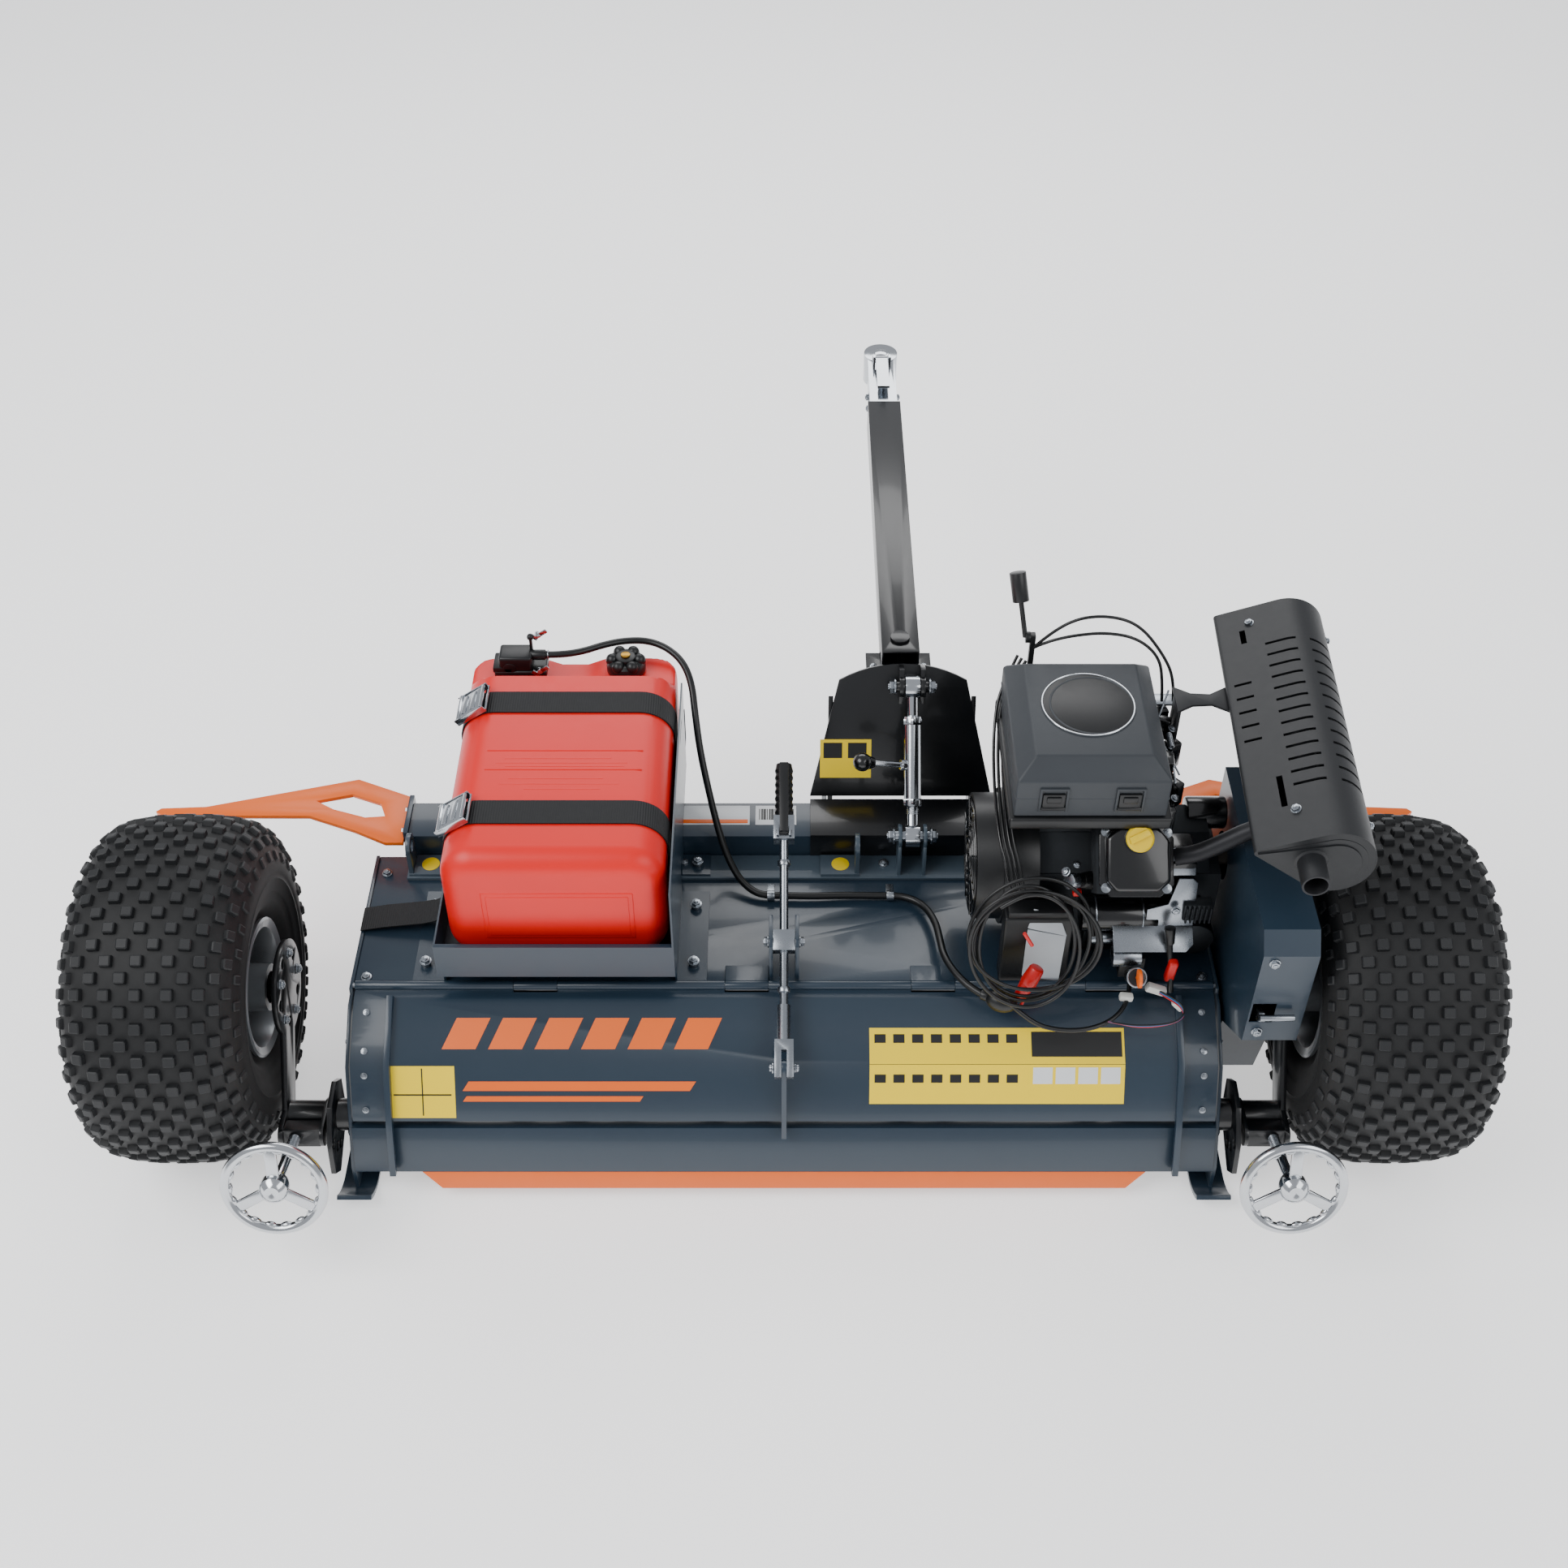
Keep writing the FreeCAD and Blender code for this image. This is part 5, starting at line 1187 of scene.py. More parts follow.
@dataclass
class Engine:
    """The V-twin engine with its housings, covers and controls."""

    frame: dict
    crank: tuple = (155.0, 425.0)
    rear_x: float = 538.0
    front_x: float = 556.0

    def along(self, x: float, lean: float, out: float, side: float = 0.0, fore: float = 0.0) -> Vector:
        """A place on a leaning cylinder: out along it, and aside across it.

        Args:
            x: Place along the crankshaft.
            lean: Lean of the cylinder in degrees.
            out: Distance from the crankshaft.
            side: Shift along X.
            fore: Shift across the cylinder.

        Returns:
            The place.
        """
        tilt = math.radians(lean)
        up = Vector((0, math.sin(tilt), math.cos(tilt)))
        ahead = Vector((0, math.cos(tilt), -math.sin(tilt)))
        return Vector((x, *self.crank)) + up * out + X * side + ahead * fore

    def block(self) -> None:
        """Crankcase, cylinders and intake castings."""
        dress(self.frame, "engine_block", CAST_ALUMINIUM, 2.0)
        dress(self.frame, "cylinders", CAST_ALUMINIUM, 0.5)
        ribs = Shape()
        for index in range(5):
            ribs.slab((6, 8, 120), (430 + index * 58, 77, 350), None, 2, 2)
        for index in range(4):
            ribs.bolt((420 + index * 82, 79, 300), -Y, size=8)
        ribs.post(34, 26, (660, 82, 330), -Y, sides=36, edge=3)
        ribs.piece("crankcase_ribs", CAST_ALUMINIUM, "deck")

    def covers(self) -> None:
        """The gloss rocker covers with their bolts and the slotted oil cap."""
        for label, x, lean in (("rear", self.rear_x, -45.0), ("front", self.front_x, 45.0)):
            turn = Matrix.Rotation(math.radians(-lean), 4, "X")
            outline = [(-57, -40), (-40, -60), (36, -60), (57, -42), (57, 30), (34, 58), (-34, 58), (-57, 36)]
            cover = Shape()
            foot = self.along(x, lean, 167.0)
            across, up = X, turn @ Y.to_4d()
            cover.plate(outline, foot, X, up.to_3d(), 9, 1.6, 2)
            inner = [(a * 0.86, b * 0.86) for a, b in outline]
            cover.plate(inner, foot + (turn @ Z.to_4d()).to_3d() * 4, X, up.to_3d(), 27, 7, 4)
            cover.piece(f"rocker_cover_{label}", BLACK_GLOSS, "deck", ["valve_covers"])
            bolts = Shape()
            way = (turn @ Z.to_4d()).to_3d()
            for a, b in ((-47, -46), (46, -47), (47, 38), (-47, 40)):
                bolts.bolt(self.along(x, lean, 175.5, a, b), way, size=7)
            bolts.piece(f"rocker_bolts_{label}", ZINC, "deck")
        lean = Vector((0, -0.7071, 0.7071))
        seat = Vector((538, *self.crank)) + lean * 200.5 + Vector((0, 21, 21))
        neck = Shape().post(23, 4, seat - lean * 3.6, lean, edge=1)
        neck.piece("oil_neck", BLACK_GLOSS, "deck")
        cap = Shape()
        cap.lathe([(0.3, 2), (0.3, 21), (8, 21), (11, 18), (11, 2)], seat, lean, 44, closed=True)
        cap.plate([(-17.2, -2), (17.2, -2), (15.5, 9), (-15.5, 9)], seat + lean * 10.5,
                  Vector((0.9, 0.3, 0.3)),
                  Vector((0.9, 0.3, 0.3)).cross(lean) * -1, 5.4, 1.6, 2)
        cap.piece("oil_cap_slotted", YELLOW_NYLON, "oil_cap", ["oil_cap"])

    def filter(self) -> None:
        """The air filter's grained cover with its ringed disc, ribs and latches."""
        cover = Shape()
        bm = cover.bm
        bmesh.ops.create_cube(bm, size=1.0)
        bmesh.ops.scale(bm, vec=(230, 264, 100), verts=bm.verts)
        bmesh.ops.translate(bm, vec=(460, 176, 675), verts=bm.verts)
        top = [e for e in bm.edges if e.verts[0].co.z > 700 and e.verts[1].co.z > 700]
        bmesh.ops.bevel(bm, geom=top, offset=28, segments=1, profile=0.5, affect="EDGES", material=-1,
                        clamp_overlap=True)
        sharp = [e for e in bm.edges if e.calc_face_angle(0.0) > math.radians(20)]
        bmesh.ops.bevel(bm, geom=sharp, offset=3.2, segments=3, profile=0.5, affect="EDGES", material=-1,
                        clamp_overlap=True)
        for x in (402, 516):
            cover.slab((4, 6, 46), (x - 20, 43.4, 660), None, 1.2, 2).slab((4, 6, 46), (x + 20, 43.4, 660),
                                                                           None, 1.2, 2)
            cover.slab((44, 6, 4), (x, 43.4, 683), None, 1.2, 2)
        cover.slab((231, 265, 3), (460, 176, 662), None, 1, 1)
        cover.ring(64, 2.6, (468, 182, 724.6), Z, 72, 10)
        cover.piece("filter_cover_grained", FILTER_ABS, "deck", ["filter_cover"], crease=25)
        latch = Shape()
        for x in (402, 516):
            latch.slab((34, 8, 34), (x, 44.0, 657), None, 2.4, 2)
            latch.slab((22, 5, 12), (x, 39.6, 664), None, 1.6, 2)
            latch.post(3, 36, (x - 18, 41, 645), X, sides=14)
        latch.piece("filter_latches", BLACK_NYLON, "deck")
        disc = Shape().post(70, 1.6, (462, 184, 724.8), Z, sides=72, edge=0.5)
        disc.piece("filter_disc", BLACK_NYLON, "deck")
        ring = Shape().ring(70, 1.7, (462, 184, 726), Z, 72, 10)
        ring.piece("filter_ring", CHROME, "deck")
        base = Shape()
        base.slab((246, 276, 22), (462, 176, 613), None, 5, 3)
        base.slab((150, 130, 60), (480, 175, 575), None, 8, 3)
        base.piece("filter_base", BLACK_NYLON, "deck")

    def blower(self) -> None:
        """The cooling housing with its guard of rings over the fan."""
        dress(self.frame, "blower_housing", BLACK_NYLON, 2.0)
        crank = Vector((303, *self.crank))
        guard = Shape()
        for index, radius in enumerate((30, 46, 62, 78, 94)):
            guard.ring(radius, 1.8, crank - X * (1.5 + 0.8 * (4 - index)), X, 56, 8)
        for index in range(8):
            angle = math.tau * index / 8
            spoke = Vector((0, math.cos(angle), math.sin(angle)))
            guard.post(1.9, 92, crank - X * 3 + spoke * 4, spoke, sides=10, edge=0)
        guard.piece("fan_guard", BLACK_GLOSS, "deck")

    def bracket(self) -> None:
        """The zinc brackets right of the rear cover, with the regulator and a capped lead."""
        plate = Shape()
        plate.plate([(18, 0), (92, 0), (92, 84), (84, 92), (62, 92), (50, 44), (18, 34)], (552, 26, 398), X,
                    (0, 0.22, 1), 3, 0.8)
        plate.plate([(-34, 0), (80, 0), (92, 12), (92, 46), (-34, 46)], (552, -10, 376), X, (0, 0.83, 0.55),
                    3, 0.8)
        plate.plate([(0, 0), (44, 0), (44, 30), (30, 44), (0, 44)], (596, 52, 488), X, (0, 0.5, 0.86), 3, 0.8)
        plate.bolt((628, 66, 520), (0, -0.6, 0.8), size=7).bolt((612, 22, 440), (0, -1, 0.2), size=7)
        plate.piece("zinc_bracket", ZINC, "deck")
        box = Shape().slab((46, 20, 36), (648, 34, 430), None, 3, 2)
        for index in range(6):
            box.slab((3, 8, 34), (630 + index * 7.4, 21, 430), None, 1, 1)
        box.piece("regulator", CAST_ALUMINIUM, "deck")
        lead = Shape()
        lead.post(9, 30, (602, 0, 424), (0.1, -0.3, -1), tip=7, edge=2).post(5, 90, (604, -8, 398),
                                                                             (0.1, -0.35, -1), edge=1)
        lead.post(16, 34, (486, 58, 470), (-0.8, -0.5, 0.5), tip=12, edge=3).post(11, 26, (462, 44, 486),
                                                                                  (-0.8, -0.5, 0.5), edge=3)
        lead.piece("leads", HOSE_RUBBER, "deck")
        clamp = Shape().post(13, 16, (452, 36, 492), (-0.8, -0.4, 0.4), edge=1).bolt((436, 40, 508),
                                                                                     (-0.7, -0.3, 0.8),
                                                                                     size=7)
        clamp.bolt((452, 48, 516), (0.2, -0.3, 1), size=6)
        clamp.piece("lead_clamp", ZINC, "deck")

    def linkage(self) -> None:
        """The governor's levers, links and springs right of the filter, and the rods on its left."""
        dark = Shape()
        for x, y, z, size in ((590, 92, 560, (14, 22, 70)), (606, 132, 590, (20, 16, 44)),
                              (598, 176, 612, (16, 30, 26)),
                              (610, 214, 596, (22, 22, 50)), (594, 252, 618, (14, 34, 40)),
                              (604, 286, 600, (20, 14, 56))):
            dark.slab(size, (x, y, z), Matrix.Rotation(math.radians(y), 4, "Z"), 3, 2)
        for index in range(5):
            dark.post(4 + index % 2, 62, (592 + 5 * index, 80 + 42 * index, 560 + 8 * index),
                      (0.2, 0.9, 0.3 - 0.12 * index), edge=1)
        dark.slab((60, 70, 60), (612, 90, 480), None, 5, 2).post(26, 64, (640, 178, 500), X, edge=3)
        dark.piece("governor_levers", BLACK_GLOSS, "deck")
        links = Shape()
        for x, y, z, way, length in ((584, 70, 600, (0.05, 1, 0.1), 190),
                                     (600, 120, 622, (0.08, 1, -0.1), 150),
                                     (590, 250, 640, (0.3, 0.6, 0.5), 46),
                                     (612, 150, 610, (-0.3, 1, 0.2), 60)):
            links.post(1.6, length, (x, y, z), way, sides=10, edge=0.3)
        for index in range(14):
            links.ring(4, 0.9, (604, 196 + 2.2 * index, 626), Y, 16, 6)
        links.bolt((600, 108, 600), (0.3, -0.2, 1), size=6).bolt((610, 236, 628), (0.3, -0.2, 1), size=6)
        links.slab((46, 26, 4), (602, 300, 632), None, 1, 2)
        links.piece("governor_links", ZINC, "deck")

    def cables(self) -> None:
        """Sheathed throttle and choke cables that arch from the lever over the filter."""
        for index, (rise, reach) in enumerate(((0, 0), (34, 18))):
            route = [(392, 322, 722), (412, 318, 738 + rise * 0.4), (452, 316, 752 + rise),
                     (502, 316, 758 + rise),
                     (552, 314, 748 + rise * 0.8), (588 + reach * 0.5, 308, 716), (598 + reach, 298, 676),
                     (600 + reach, 288, 640)]
            cable = free_cord(f"control_cable_{index}", route, 5.0, HOSE_RUBBER, "deck")
            measured(cable)
        for index in range(4):
            x = 352 + 7 * index
            route = [(x + 18, 330, 700 - 6 * index), (x + 6, 318, 676), (x - 14, 290, 640),
                     (x - 20, 240, 600), (x - 22, 180, 575),
                     (x - 22, 120, 560), (x - 18, 70, 540), (x - 8, 40, 510), (x, 24, 478)]
            free_cord(f"side_wire_{index}", route, 5.0, HOSE_RUBBER if index % 2 else BLACK_GLOSS, "deck")

    def starter(self) -> None:
        """The starter motor's can, its nose and its strap."""
        dress(self.frame, "starter_motor", BLACK_GLOSS, 1.6)
        parts = Shape()
        parts.ring(28.4, 1.6, (492, 51, 400), X, 40, 8).ring(28.4, 1.6, (566, 51, 400), X, 40, 8)
        parts.post(10, 34, (488, 31, 366), X, edge=2)
        parts.bolt((590, 51, 400), X, size=7)
        parts.piece("starter_bands", ZINC, "deck")

    def controls(self) -> None:
        """Key switch, key, throttle lever, terminals and connectors."""
        dress(self.frame, "key_switch", BLACK_NYLON, 1.5)
        dress(self.frame, "ignition_key", ORANGE_VINYL, 1.2)
        dress(self.frame, "throttle_lever", BLACK_NYLON, 0.8)
        ring = Shape().ring(14.5, 2.2, Vector((552, -22, 335)) + Vector((0, -0.7071, 0.7071)) * 38,
                            (0, -1, 1), 36, 10)
        ring.piece("key_bezel", ZINC, "deck")
        case = Shape()
        case.slab((109, 33, 150), (400, 27.4, 355), None, 4, 3).slab((100, 30, 14), (400, 27.4, 436), None,
                                                                     3, 2)
        case.piece("battery_case_moulded", BLACK_NYLON, "deck", ["battery"])
        panel = Shape()
        panel.plate([(0, 0), (60, -14), (62, 96), (0, 110)], (382, 9.6, 300), X, Z, 3, 1)
        panel.plate([(0, 0), (62, -14), (48, 24), (8, 34)], (382, 10.4, 412), X, (0, 0.34, 0.94), 3, 1)
        panel.piece("battery_panel", PALE_CASE, "deck")
        boots = Shape()
        slant = Vector((-0.42, -0.25, -0.87))
        boots.post(12, 34, (398, -32, 366), slant, tip=14, edge=4).post(13, 34,
                                                                        Vector((398, -32,
                                                                                366)) + slant * 32, slant,
                                                                        tip=9, edge=4)
        boots.slab((15, 15, 44), (610, -26, 352), Matrix.Rotation(math.radians(5), 4, "Y"), 4, 3)
        boots.ring(10, 2.6, Vector((398, -32, 366)) + slant * 70, (0.1, -0.9, 0.5), 32, 8)
        boots.slab((14, 12, 10), (456, 34, 468), None, 3, 2).post(3, 30, (366, -52, 470), (0.5, -0.1, -0.9),
                                                                  edge=1)
        boots.piece("terminal_boots", RED_PVC, "deck")
        solenoid = Shape().post(17, 46, (520, 4, 352), X, edge=2)
        solenoid.piece("starter_relay", ZINC, "deck")
        plugs = Shape()
        plugs.slab((34, 13, 14), (586, -46, 330), Matrix.Rotation(math.radians(24), 4, "Y"), 3, 2)
        plugs.slab((22, 12, 12), (540, -52, 318), Matrix.Rotation(math.radians(8), 4, "Y"), 3, 2)
        plugs.slab((24, 8, 10), (622, -60, 306), Matrix.Rotation(math.radians(50), 4, "Y"), 2, 2)
        plugs.piece("wire_plugs", WHITE_NYLON, "deck")

    def build(self) -> None:
        """Build the engine."""
        self.block()
        self.covers()
        self.filter()
        self.blower()
        self.bracket()
        self.starter()
        self.controls()
        self.linkage()
        self.cables()


@dataclass
class Exhaust:
    """The muffler in its slotted guard, which narrows to a corner on its left."""

    frame: dict
    rear: Vector = field(default_factory=lambda: Vector((793, -89, 665)))
    yaw: float = 2.8
    length: float = 533.0
    radius: float = 58.4
    corner: tuple = (-112.0, 13.0, 4.6)
    steps: int = 100

    def place(self) -> Matrix:
        """The turn and shift from the guard's own frame: X right, Y ahead along it, Z up."""
        return Matrix.Translation(self.rear) @ Matrix.Rotation(math.radians(-self.yaw), 4, "Z")

    def outline(self, inset: float = 0.0) -> list:
        """The guard's section, in X and Z, evenly stepped, from its corner over the top and round.

        Args:
            inset: How far inside the sheet it lies, in mm.

        Returns:
            Its places in X and Z.
        """
        far, high, small = self.corner
        big, small = self.radius - inset, max(small - inset, 0.4)
        base = math.atan2(high, far)
        lean = math.acos((big - small) / math.hypot(far, high))
        first, last = base - lean, base + lean - math.tau
        arc = [(big * math.cos(first + (last - first) * i / 44),
                big * math.sin(first + (last - first) * i / 44)) for i in range(45)]
        tip = [(far + small * math.cos(base + turn),
                high + small * math.sin(base + turn)) for turn in (lean, lean / 2, 0, -lean / 2, -lean)]
        ring = []
        for (ax, az), (bx, bz) in zip([tip[-1]] + arc + tip, arc + tip + [tip[-1]]):
            gap = math.hypot(bx - ax, bz - az)
            for i in range(max(1, round(gap / 4.5)) if gap > 9 else 1):
                share = i / (max(1, round(gap / 4.5)) if gap > 9 else 1)
                ring.append((ax + (bx - ax) * share, az + (bz - az) * share))
        return [p for i, p in enumerate(ring) if math.dist(p, ring[i - 1]) > 0.2]

    @staticmethod
    def slotted(x: float, z: float, row: int) -> bool:
        """Whether a place on a row of the sheet lies in one of its cooling slots.

        Args:
            x: Place across the guard, in mm right of the round part's centre.
            z: Height above that centre, in mm.
            row: Index of the sheet's row, counted from the rear.

        Returns:
            True where the sheet is cut away.
        """
        if z <= 0:
            return False
        columns = (-50 < x < -4 and z > 20) or (16 < x and z > 22)
        cooling = columns and 21 <= row <= 81 and (row - 21) % 5 == 0
        thin = -106 < x < -82 and 42 <= row <= 66 and row % 6 == 0
        lengthwise = (-84 < x < -78 and 84 <= row <= 89) or (-70 < x < -64 and 14 <= row <= 25)
        return cooling or thin or lengthwise

    def guard(self) -> None:
        """The guard's sheet with its slots."""
        shape = Shape()
        bm = shape.bm
        ring = self.outline()
        rows = [self.length * i / self.steps for i in range(self.steps + 1)]
        grid = [[bm.verts.new((x, y, z)) for x, z in ring] for y in rows]
        for row, (below, above) in enumerate(zip(grid, grid[1:])):
            for i in range(len(ring)):
                a, b, c, d = below[i - 1], below[i], above[i], above[i - 1]
                middle = (a.co + b.co + c.co + d.co) / 4
                if not self.slotted(middle.x, middle.z, row):
                    bm.faces.new((a, b, c, d))
        loose = [v for v in bm.verts if not v.link_faces]
        bmesh.ops.delete(bm, geom=loose, context="VERTS")
        bmesh.ops.recalc_face_normals(bm, faces=bm.faces)
        bmesh.ops.transform(bm, matrix=self.place(), verts=bm.verts)
        guard = shape.piece("guard_sheet", HEAT_PAINT, "deck", ["muffler_guard"], crease=40)
        wall = guard.modifiers.new("wall", "SOLIDIFY")
        wall.thickness = 2.0 * MM
        wall.offset = 0.0

    def ends(self) -> None:
        """The end plates with their pressed rings, the tail pipe's collar and the bolts."""
        place = self.place()
        across, up = place.to_3x3() @ X, Z
        caps = Shape()
        for inset, y, thick in ((0.2, 3.0, 3.0), (11.0, 1.2, 2.0), (21.0, -0.6, 2.4),
                                (0.2, self.length - 1, 3.0)):
            caps.plate(self.outline(inset)[::-1], place @ Vector((0, y, 0)), across, up, thick, 0.6, 1)
        caps.piece("guard_caps", HEAT_PAINT, "deck")
        pipe = Shape()
        along = place.to_3x3() @ Vector((0, -1, 0))
        pipe.lathe([(0, 17.4), (0, 24), (2, 24), (4, 20.4), (47, 20.4), (49.6, 20), (49.6, 17.6), (2, 17.2)],
                   place @ Vector((-35, -1, 3)), along, 48, closed=True)
        pipe.piece("tail_pipe", HEAT_PAINT, "deck")
        bolts = Shape()
        for x, y in ((-68, 494), (-54, 64)):
            high = next(z for a, z in self.outline() if z > 0 and abs(a - x) < 5)
            bolts.bolt(place @ Vector((x, y, high + 1)), (-0.45, 0, 0.9), size=7.5)
        for y in (489, 69):
            bolts.bolt(place @ Vector((59.4, y, 8)), (1, 0, 0.15), size=6)
        bolts.piece("guard_bolts", ZINC, "deck")

    def build(self) -> None:
        """Build the exhaust."""
        dress(self.frame, "muffler", BARE_PIPE, 0.6)
        self.guard()
        self.ends()
        stay = Shape()
        stay.plate([(0, -30), (26, -14), (56, -12), (92, -34), (92, 34), (56, 12), (26, 14), (0, 30)],
                   (612, 256, 668), X, Y, 5, 1)
        stay.slab((6, 44, 130), (617, 256, 604), None, 1.5, 2)
        stay.piece("guard_stay", HEAT_PAINT, "deck", crease=30)


# ---------------------------------------------------------------- drive, hitch, cords

@dataclass
class Drive:
    """Belt guard, pulleys, belt, rotor and flails."""

    frame: dict

    def build(self) -> None:
        """Dress the drive and bolt the guard."""
        dress(self.frame, "belt_guard", SLATE_COAT, 0.7)
        dress(self.frame, "crank_pulley", CAST_STEEL, 1.2)
        dress(self.frame, "drive_belt", HOSE_RUBBER, 0.5)
        dress(self.frame, "belt_idler", ZINC, 1.0)
        dress(self.frame, "rotor", CAST_STEEL, 0.8)
        dress(self.frame, "flails", CAST_STEEL, 0.8)
        dress(self.frame, "rotor_bearings", CAST_STEEL, 1.5)
        bolts = Shape()
        for z in (340, 500):
            bolts.bolt((727, -138, z), -Y, size=8)
        for y, z in ((20, 120), (200, 120), (200, 500), (-80, 480), (60, 300)):
            bolts.bolt((792, y, z), X, size=8)
        bolts.piece("belt_guard_bolts", ZINC, "deck")


@dataclass
class Hitch:
    """The pitching carrier, drawbar, coupler and top link."""

    frame: dict
    low: Vector = field(default_factory=lambda: Vector((216, 265, 357)))
    high: Vector = field(default_factory=lambda: Vector((216, 438, 538)))

    def carrier(self) -> None:
        """The fan plate with its pins and a blank yellow sticker."""
        dress(self.frame, "hitch_carrier", BLACK_COAT, 1.2)
        foot, peak = Vector((202, 384, 334)), Vector((202, 480, 553))
        up = (peak - foot).normalized()
        normal = X.cross(up)
        sticker = Shape()
        sticker.plate([(-140, 34), (-52, 34), (-52, 104), (-140, 104)], foot + normal * 0.3, X, up, 0.4,
                      edge=0)
        sticker.piece("fan_sticker", YELLOW_VINYL, "hitch")
        marks = Shape()
        for a in (-134, -92):
            marks.plate([(a, 70), (a + 32, 70), (a + 32, 98), (a, 98)], foot + normal * 0.6, X, up, 0.3,
                        edge=0)
        marks.piece("fan_sticker_marks", BLACK_VINYL, "hitch")
        bolts = Shape()
        for x in (155, 241):
            bolts.bolt((x, 532, 501.8), Z, size=6)
        bolts.piece("carrier_bolts", ZINC, "hitch")

    def drawbar(self) -> None:
        """The square tube, the plated coupler and its latch."""
        dress(self.frame, "drawbar", BLACK_COAT, 3.0)
        dress(self.frame, "ball_coupler", CHROME, 1.2)
        dress(self.frame, "coupler_latch", CHROME, 1.2)
        bolts = Shape()
        for y in (1286, 1326):
            for side in (-1, 1):
                bolts.bolt((198 + side * 27, y, 533), X * side, size=8)
        bolts.piece("coupler_bolts", ZINC, "drawbar")

    def top_link(self) -> None:
        """The plated link with its threads, lock nuts, pins and handle."""
        along = (self.high - self.low).normalized()
        dress(self.frame, "toplink_lower_eye", CHROME, 1.2)
        dress(self.frame, "toplink_upper_eye", CHROME, 1.2)
        sleeve = Shape()
        sleeve.lathe([(50, 9.3), (50, 15.6), (53, 16), (60, 16), (62, 14.6), (188, 14.6), (190, 16),
                      (197, 16), (200, 15.6), (200, 9.3)],
                     self.low, along, 40, closed=True)
        sleeve.post(17.5, 11, self.low + along * 52, along, sides=6, edge=1.2)
        sleeve.post(17.5, 11, self.low + along * 186, along, sides=6, edge=1.2)
        way = Vector((-0.94, -0.2, 0.28)).normalized()
        middle = self.low + along * 118
        sleeve.post(5, 78, middle, way, edge=0.8).post(9, 10, middle + way * 12, way, edge=1)
        sleeve.piece("top_link_sleeve", CHROME, "link_body", ["toplink_body"])
        threads = Shape()
        for index in range(6):
            threads.ring(9.2, 0.9, self.low + along * (37 + 2.2 * index), along, 24, 6)
        threads.piece("top_link_low_thread", CHROME, "link_low")
        knob = Shape().ball(15.8, middle + way * 91).post(9, 12, middle + way * 70, way, tip=12, edge=1)
        knob.piece("top_link_knob", BLACK_GLOSS, "link_body")
        pins = Shape()
        pins.bolt(self.low + X * 30, X, size=13, washer=True).bolt(self.low - X * 30, -X, size=13)
        pins.piece("top_link_low_nuts", ZINC, "deck")
        pins = Shape()
        pins.bolt(self.high + X * 28, X, size=13).bolt(self.high - X * 28, -X, size=13)
        pins.piece("top_link_high_nuts", ZINC, "hitch")

    def build(self) -> None:
        """Build the hitch."""
        self.carrier()
        self.drawbar()
        self.top_link()


@dataclass
class Cords:
    """The fuel hose with its primer bulb, and the harness's hank, tail and wires."""

    frame: dict
    hose: tuple = ((-402, 485, 569), (-376, 485, 569), (-340, 496, 567), (-308, 518, 563), (-272, 534, 559),
                   (-234, 538, 556), (-200, 524, 552), (-172, 496, 545), (-156, 458, 530), (-150, 415, 500),
                   (-142, 372, 456), (-128, 330, 404), (-112, 288, 352), (-97, 254, 322), (-78, 222, 302),
                   (-56, 200, 293), (-34, 190.6, 290), (4, 190, 290), (50, 188.8, 290), (100, 191, 290),
                   (150, 190, 290), (202, 190, 290), (234, 166, 293), (250, 124, 299), (254, 82, 306),
                   (258, 36, 312), (276, -4, 314), (300, -34, 314), (322, -48, 313))
    tail: tuple = ((350, -82, 342), (384, -104, 318), (430, -112, 308), (478, -108, 306), (520, -88, 308),
                   (546, -52, 314), (552, -8.4, 318))

    def build(self) -> None:
        """Lay every cord."""
        hose = free_cord("fuel_hose_line", self.hose, 12.0, HOSE_RUBBER, "deck", ["fuel_hose"])
        bulb = Shape().ball(20, (343, -55, 312), (1.3, 0.92, 0.92),
                            Matrix.Rotation(math.radians(-20), 4, "Z"), 28)
        bulb.post(9, 16, (312, -42, 313.5), (22, -9, -1), edge=2)
        primer = bulb.piece("primer_bulb", HOSE_RUBBER, "deck")
        measured(hose)
        tail = free_cord("harness_tail_wire", self.tail, 7.5, HOSE_RUBBER, "deck", ["harness_tail"])
        measured(tail)
        self.coil()
        for name, finish, lift in (("blue", BLUE_PVC, 0), ("black", HOSE_RUBBER, 5), ("red", RED_PVC, -5)):
            route = [(588, -50, 330 + lift * 0.4), (608, -60, 325 + lift * 0.8), (624, -72, 321 + lift * 0.8),
                     (628, -88, 318 + lift * 0.6), (612, -101, 315), (582, -107, 314 + lift * 0.4),
                     (550, -108, 314 + lift * 0.4), (526, -104, 315), (506, -100, 316)]
            wire = free_cord(f"{name}_wire", route, 2.6, finish, "deck")
            measured(wire)

    def coil(self) -> None:
        """The hank of harness wire: loose turns of uneven size."""
        centre = Vector((380, -48, 440))
        turn = toward(Vector((0, -0.951, 0.309)))
        route = []
        turns, steps = 5.4, 14
        for index in range(int(turns * steps) + 1):
            angle = math.tau * index / steps
            lap = index / steps
            wide = 90 + 15 * math.sin(1.9 * lap + 0.5)
            tall = 97 + 11 * math.cos(2.6 * lap)
            offset = Vector((7 * math.sin(2.2 * lap), 5 * math.cos(1.7 * lap), 0))
            depth = -16 + 32 * lap / turns
            route.append(centre + turn @ (offset + Vector((wide * math.cos(angle), tall * math.sin(angle),
                                                           depth))))
        coil = free_cord("harness_coil_wire", [tuple(p) for p in route], 6.0, HOSE_RUBBER, "deck",
                         ["harness_coil"])
        measured(coil)


# ---------------------------------------------------------------- studio

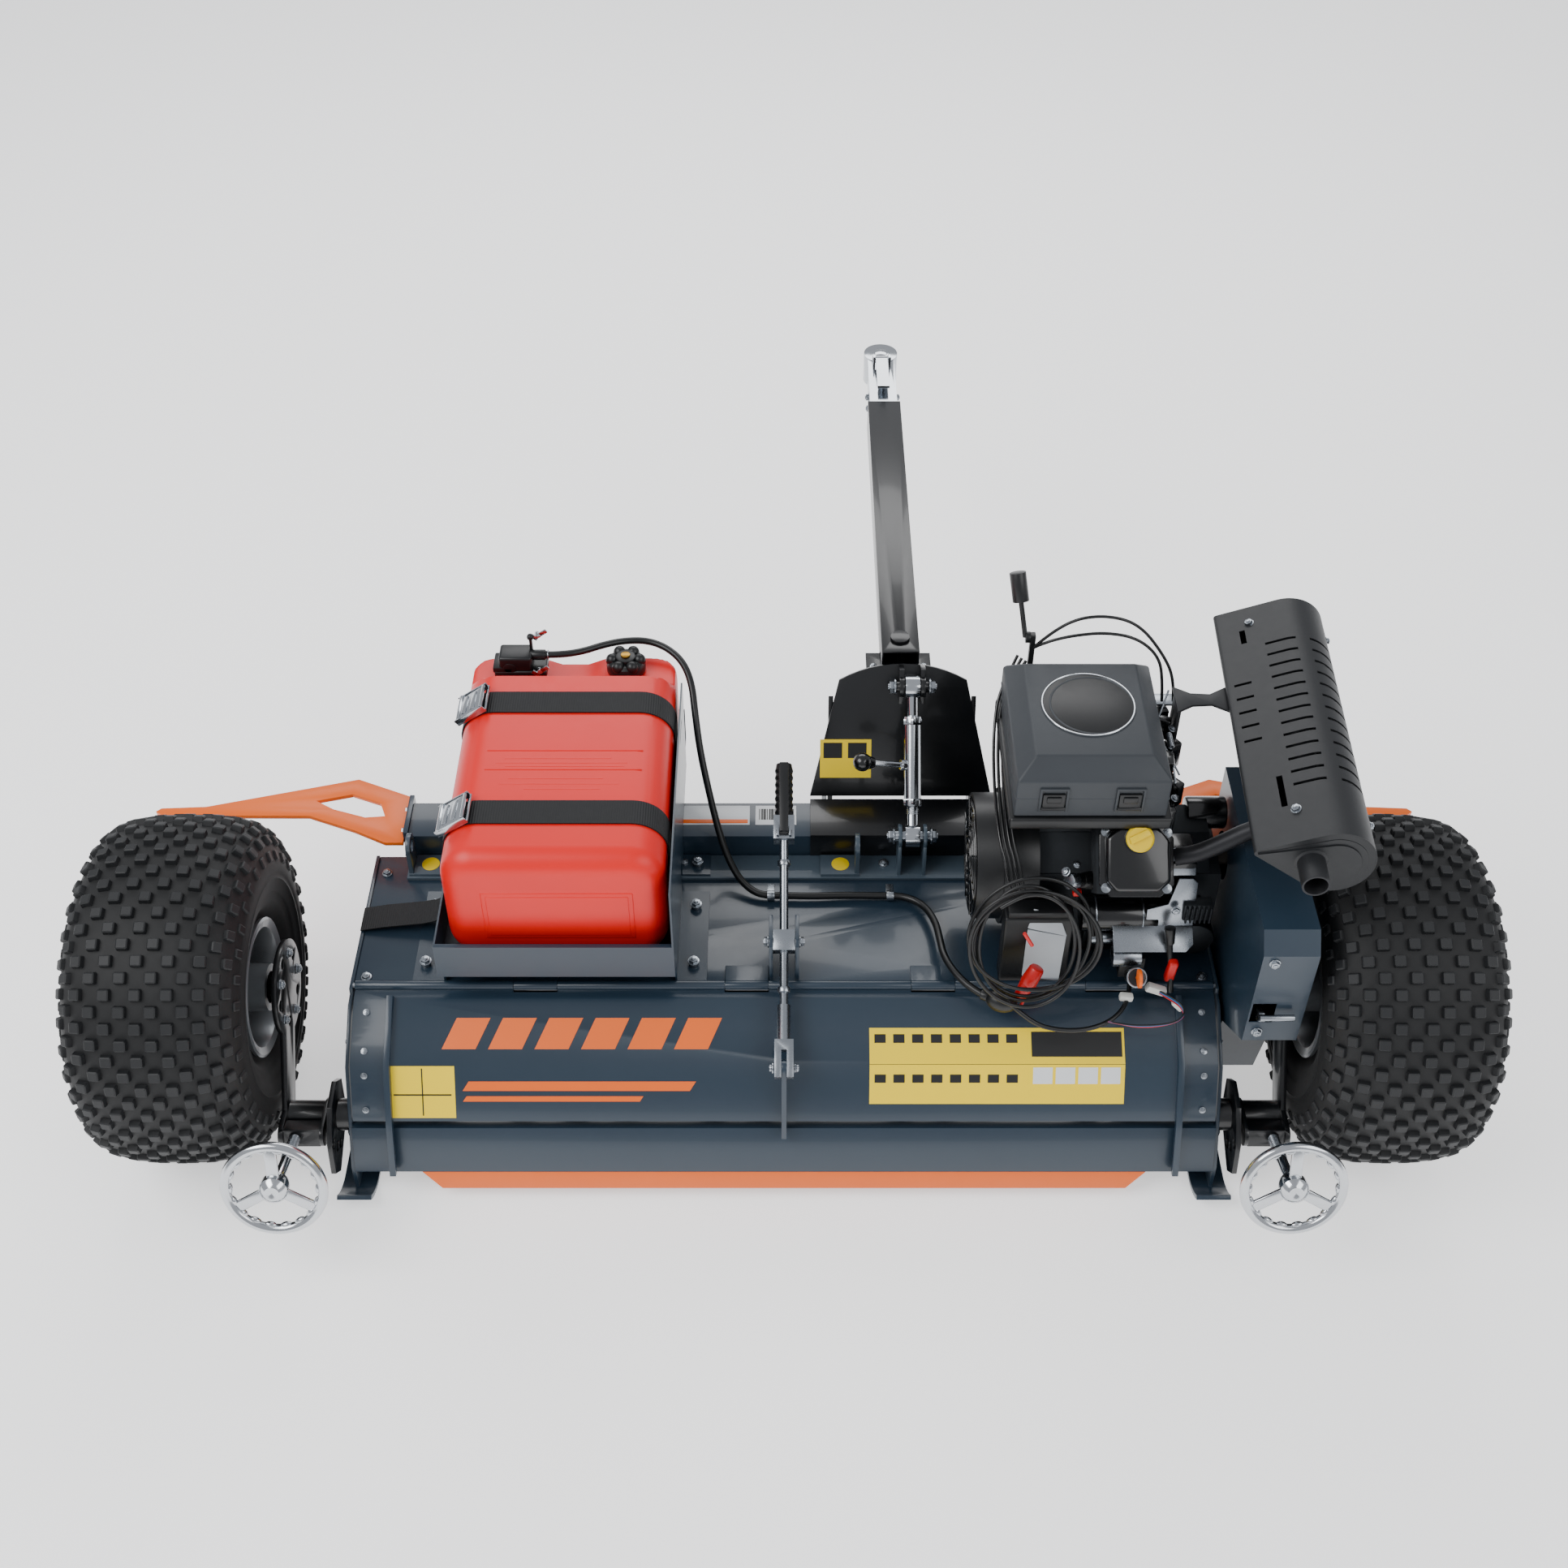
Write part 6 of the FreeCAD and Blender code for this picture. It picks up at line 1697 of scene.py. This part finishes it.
@dataclass
class Studio:
    """The pale floor, the soft lights and the camera."""

    focal_mm: float = 44.16
    place: tuple = (0.0, -2.5564, 2.6757)
    down_deg: float = 44.2
    sensor_mm: float = 36.0
    paper_glow: float = 0.75
    paper_half_m: float = 30.0
    sky: tuple = (0.93, 0.95, 1.0, 1.0)
    sky_strength: float = 0.6
    # name, size in metres, watts, place, height of the aim
    panels: tuple = (("key_panel", (3.0, 2.2), 120, (-2.6, -1.6, 3.6), 0.3),
                     ("fill_panel", (3.0, 2.2), 55, (2.8, -2.2, 3.0), 0.3),
                     ("back_panel", (4.0, 1.6), 80, (0.0, 3.2, 3.2), 0.4))

    def floor(self) -> None:
        """A seamless floor."""
        mesh = bpy.data.meshes.new("floor")
        bm = bmesh.new()
        bmesh.ops.create_grid(bm, x_segments=2, y_segments=2, size=self.paper_half_m)
        bm.to_mesh(mesh)
        bm.free()
        paper = STUDIO_FLOOR.material()
        shader = paper.node_tree.nodes["Principled BSDF"]
        shader.inputs["Emission Color"].default_value = linear("#FFFFFF")
        shader.inputs["Emission Strength"].default_value = self.paper_glow
        mesh.materials.append(paper)
        floor = bpy.data.objects.new("floor", mesh)
        bpy.context.scene.collection.objects.link(floor)
        floor.location.z = -0.0005

    def light(self, name: str, size: tuple, watts: float, place: tuple, target: tuple) -> None:
        """One soft panel aimed at a point.

        Args:
            name: The light's name.
            size: Width and height in metres.
            watts: Its power.
            place: Where it hangs.
            target: What it is aimed at.
        """
        lamp = bpy.data.lights.new(name, "AREA")
        lamp.shape = "RECTANGLE"
        lamp.size, lamp.size_y = size
        lamp.energy = watts
        light = bpy.data.objects.new(name, lamp)
        light.location = place
        light.rotation_euler = (Vector(target) - Vector(place)).to_track_quat("-Z", "Y").to_euler()
        bpy.context.scene.collection.objects.link(light)

    def build(self) -> None:
        """Set the floor, the lights, the world and the camera."""
        self.floor()
        for name, size, watts, place, aim in self.panels:
            self.light(name, size, watts, place, (0, 0, aim))
        world = bpy.data.worlds.new("studio")
        world.use_nodes = True
        light = world.node_tree.nodes["Background"]
        light.inputs["Color"].default_value = self.sky
        light.inputs["Strength"].default_value = self.sky_strength
        bpy.context.scene.world = world
        lens = bpy.data.cameras.new("camera")
        lens.lens = self.focal_mm
        lens.sensor_width = self.sensor_mm
        camera = bpy.data.objects.new("camera", lens)
        camera.location = self.place
        camera.rotation_euler = (math.radians(90 - self.down_deg), 0, 0)
        bpy.context.scene.collection.objects.link(camera)
        bpy.context.scene.camera = camera


def main() -> None:
    """Build the mower's looks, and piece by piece."""
    logging.basicConfig(level=logging.INFO, format="%(message)s")
    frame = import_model()
    Studio().build()
    Deck(frame).build()
    Hood(frame).build()
    Adjuster(frame).build()
    FuelTank(frame).build()
    Engine(frame).build()
    Exhaust(frame).build()
    Drive(frame).build()
    Hitch(frame).build()
    for side in (-1, 1):
        Wheel(frame, side).build()
    Cords(frame).build()


if __name__ == "__main__":
    main()
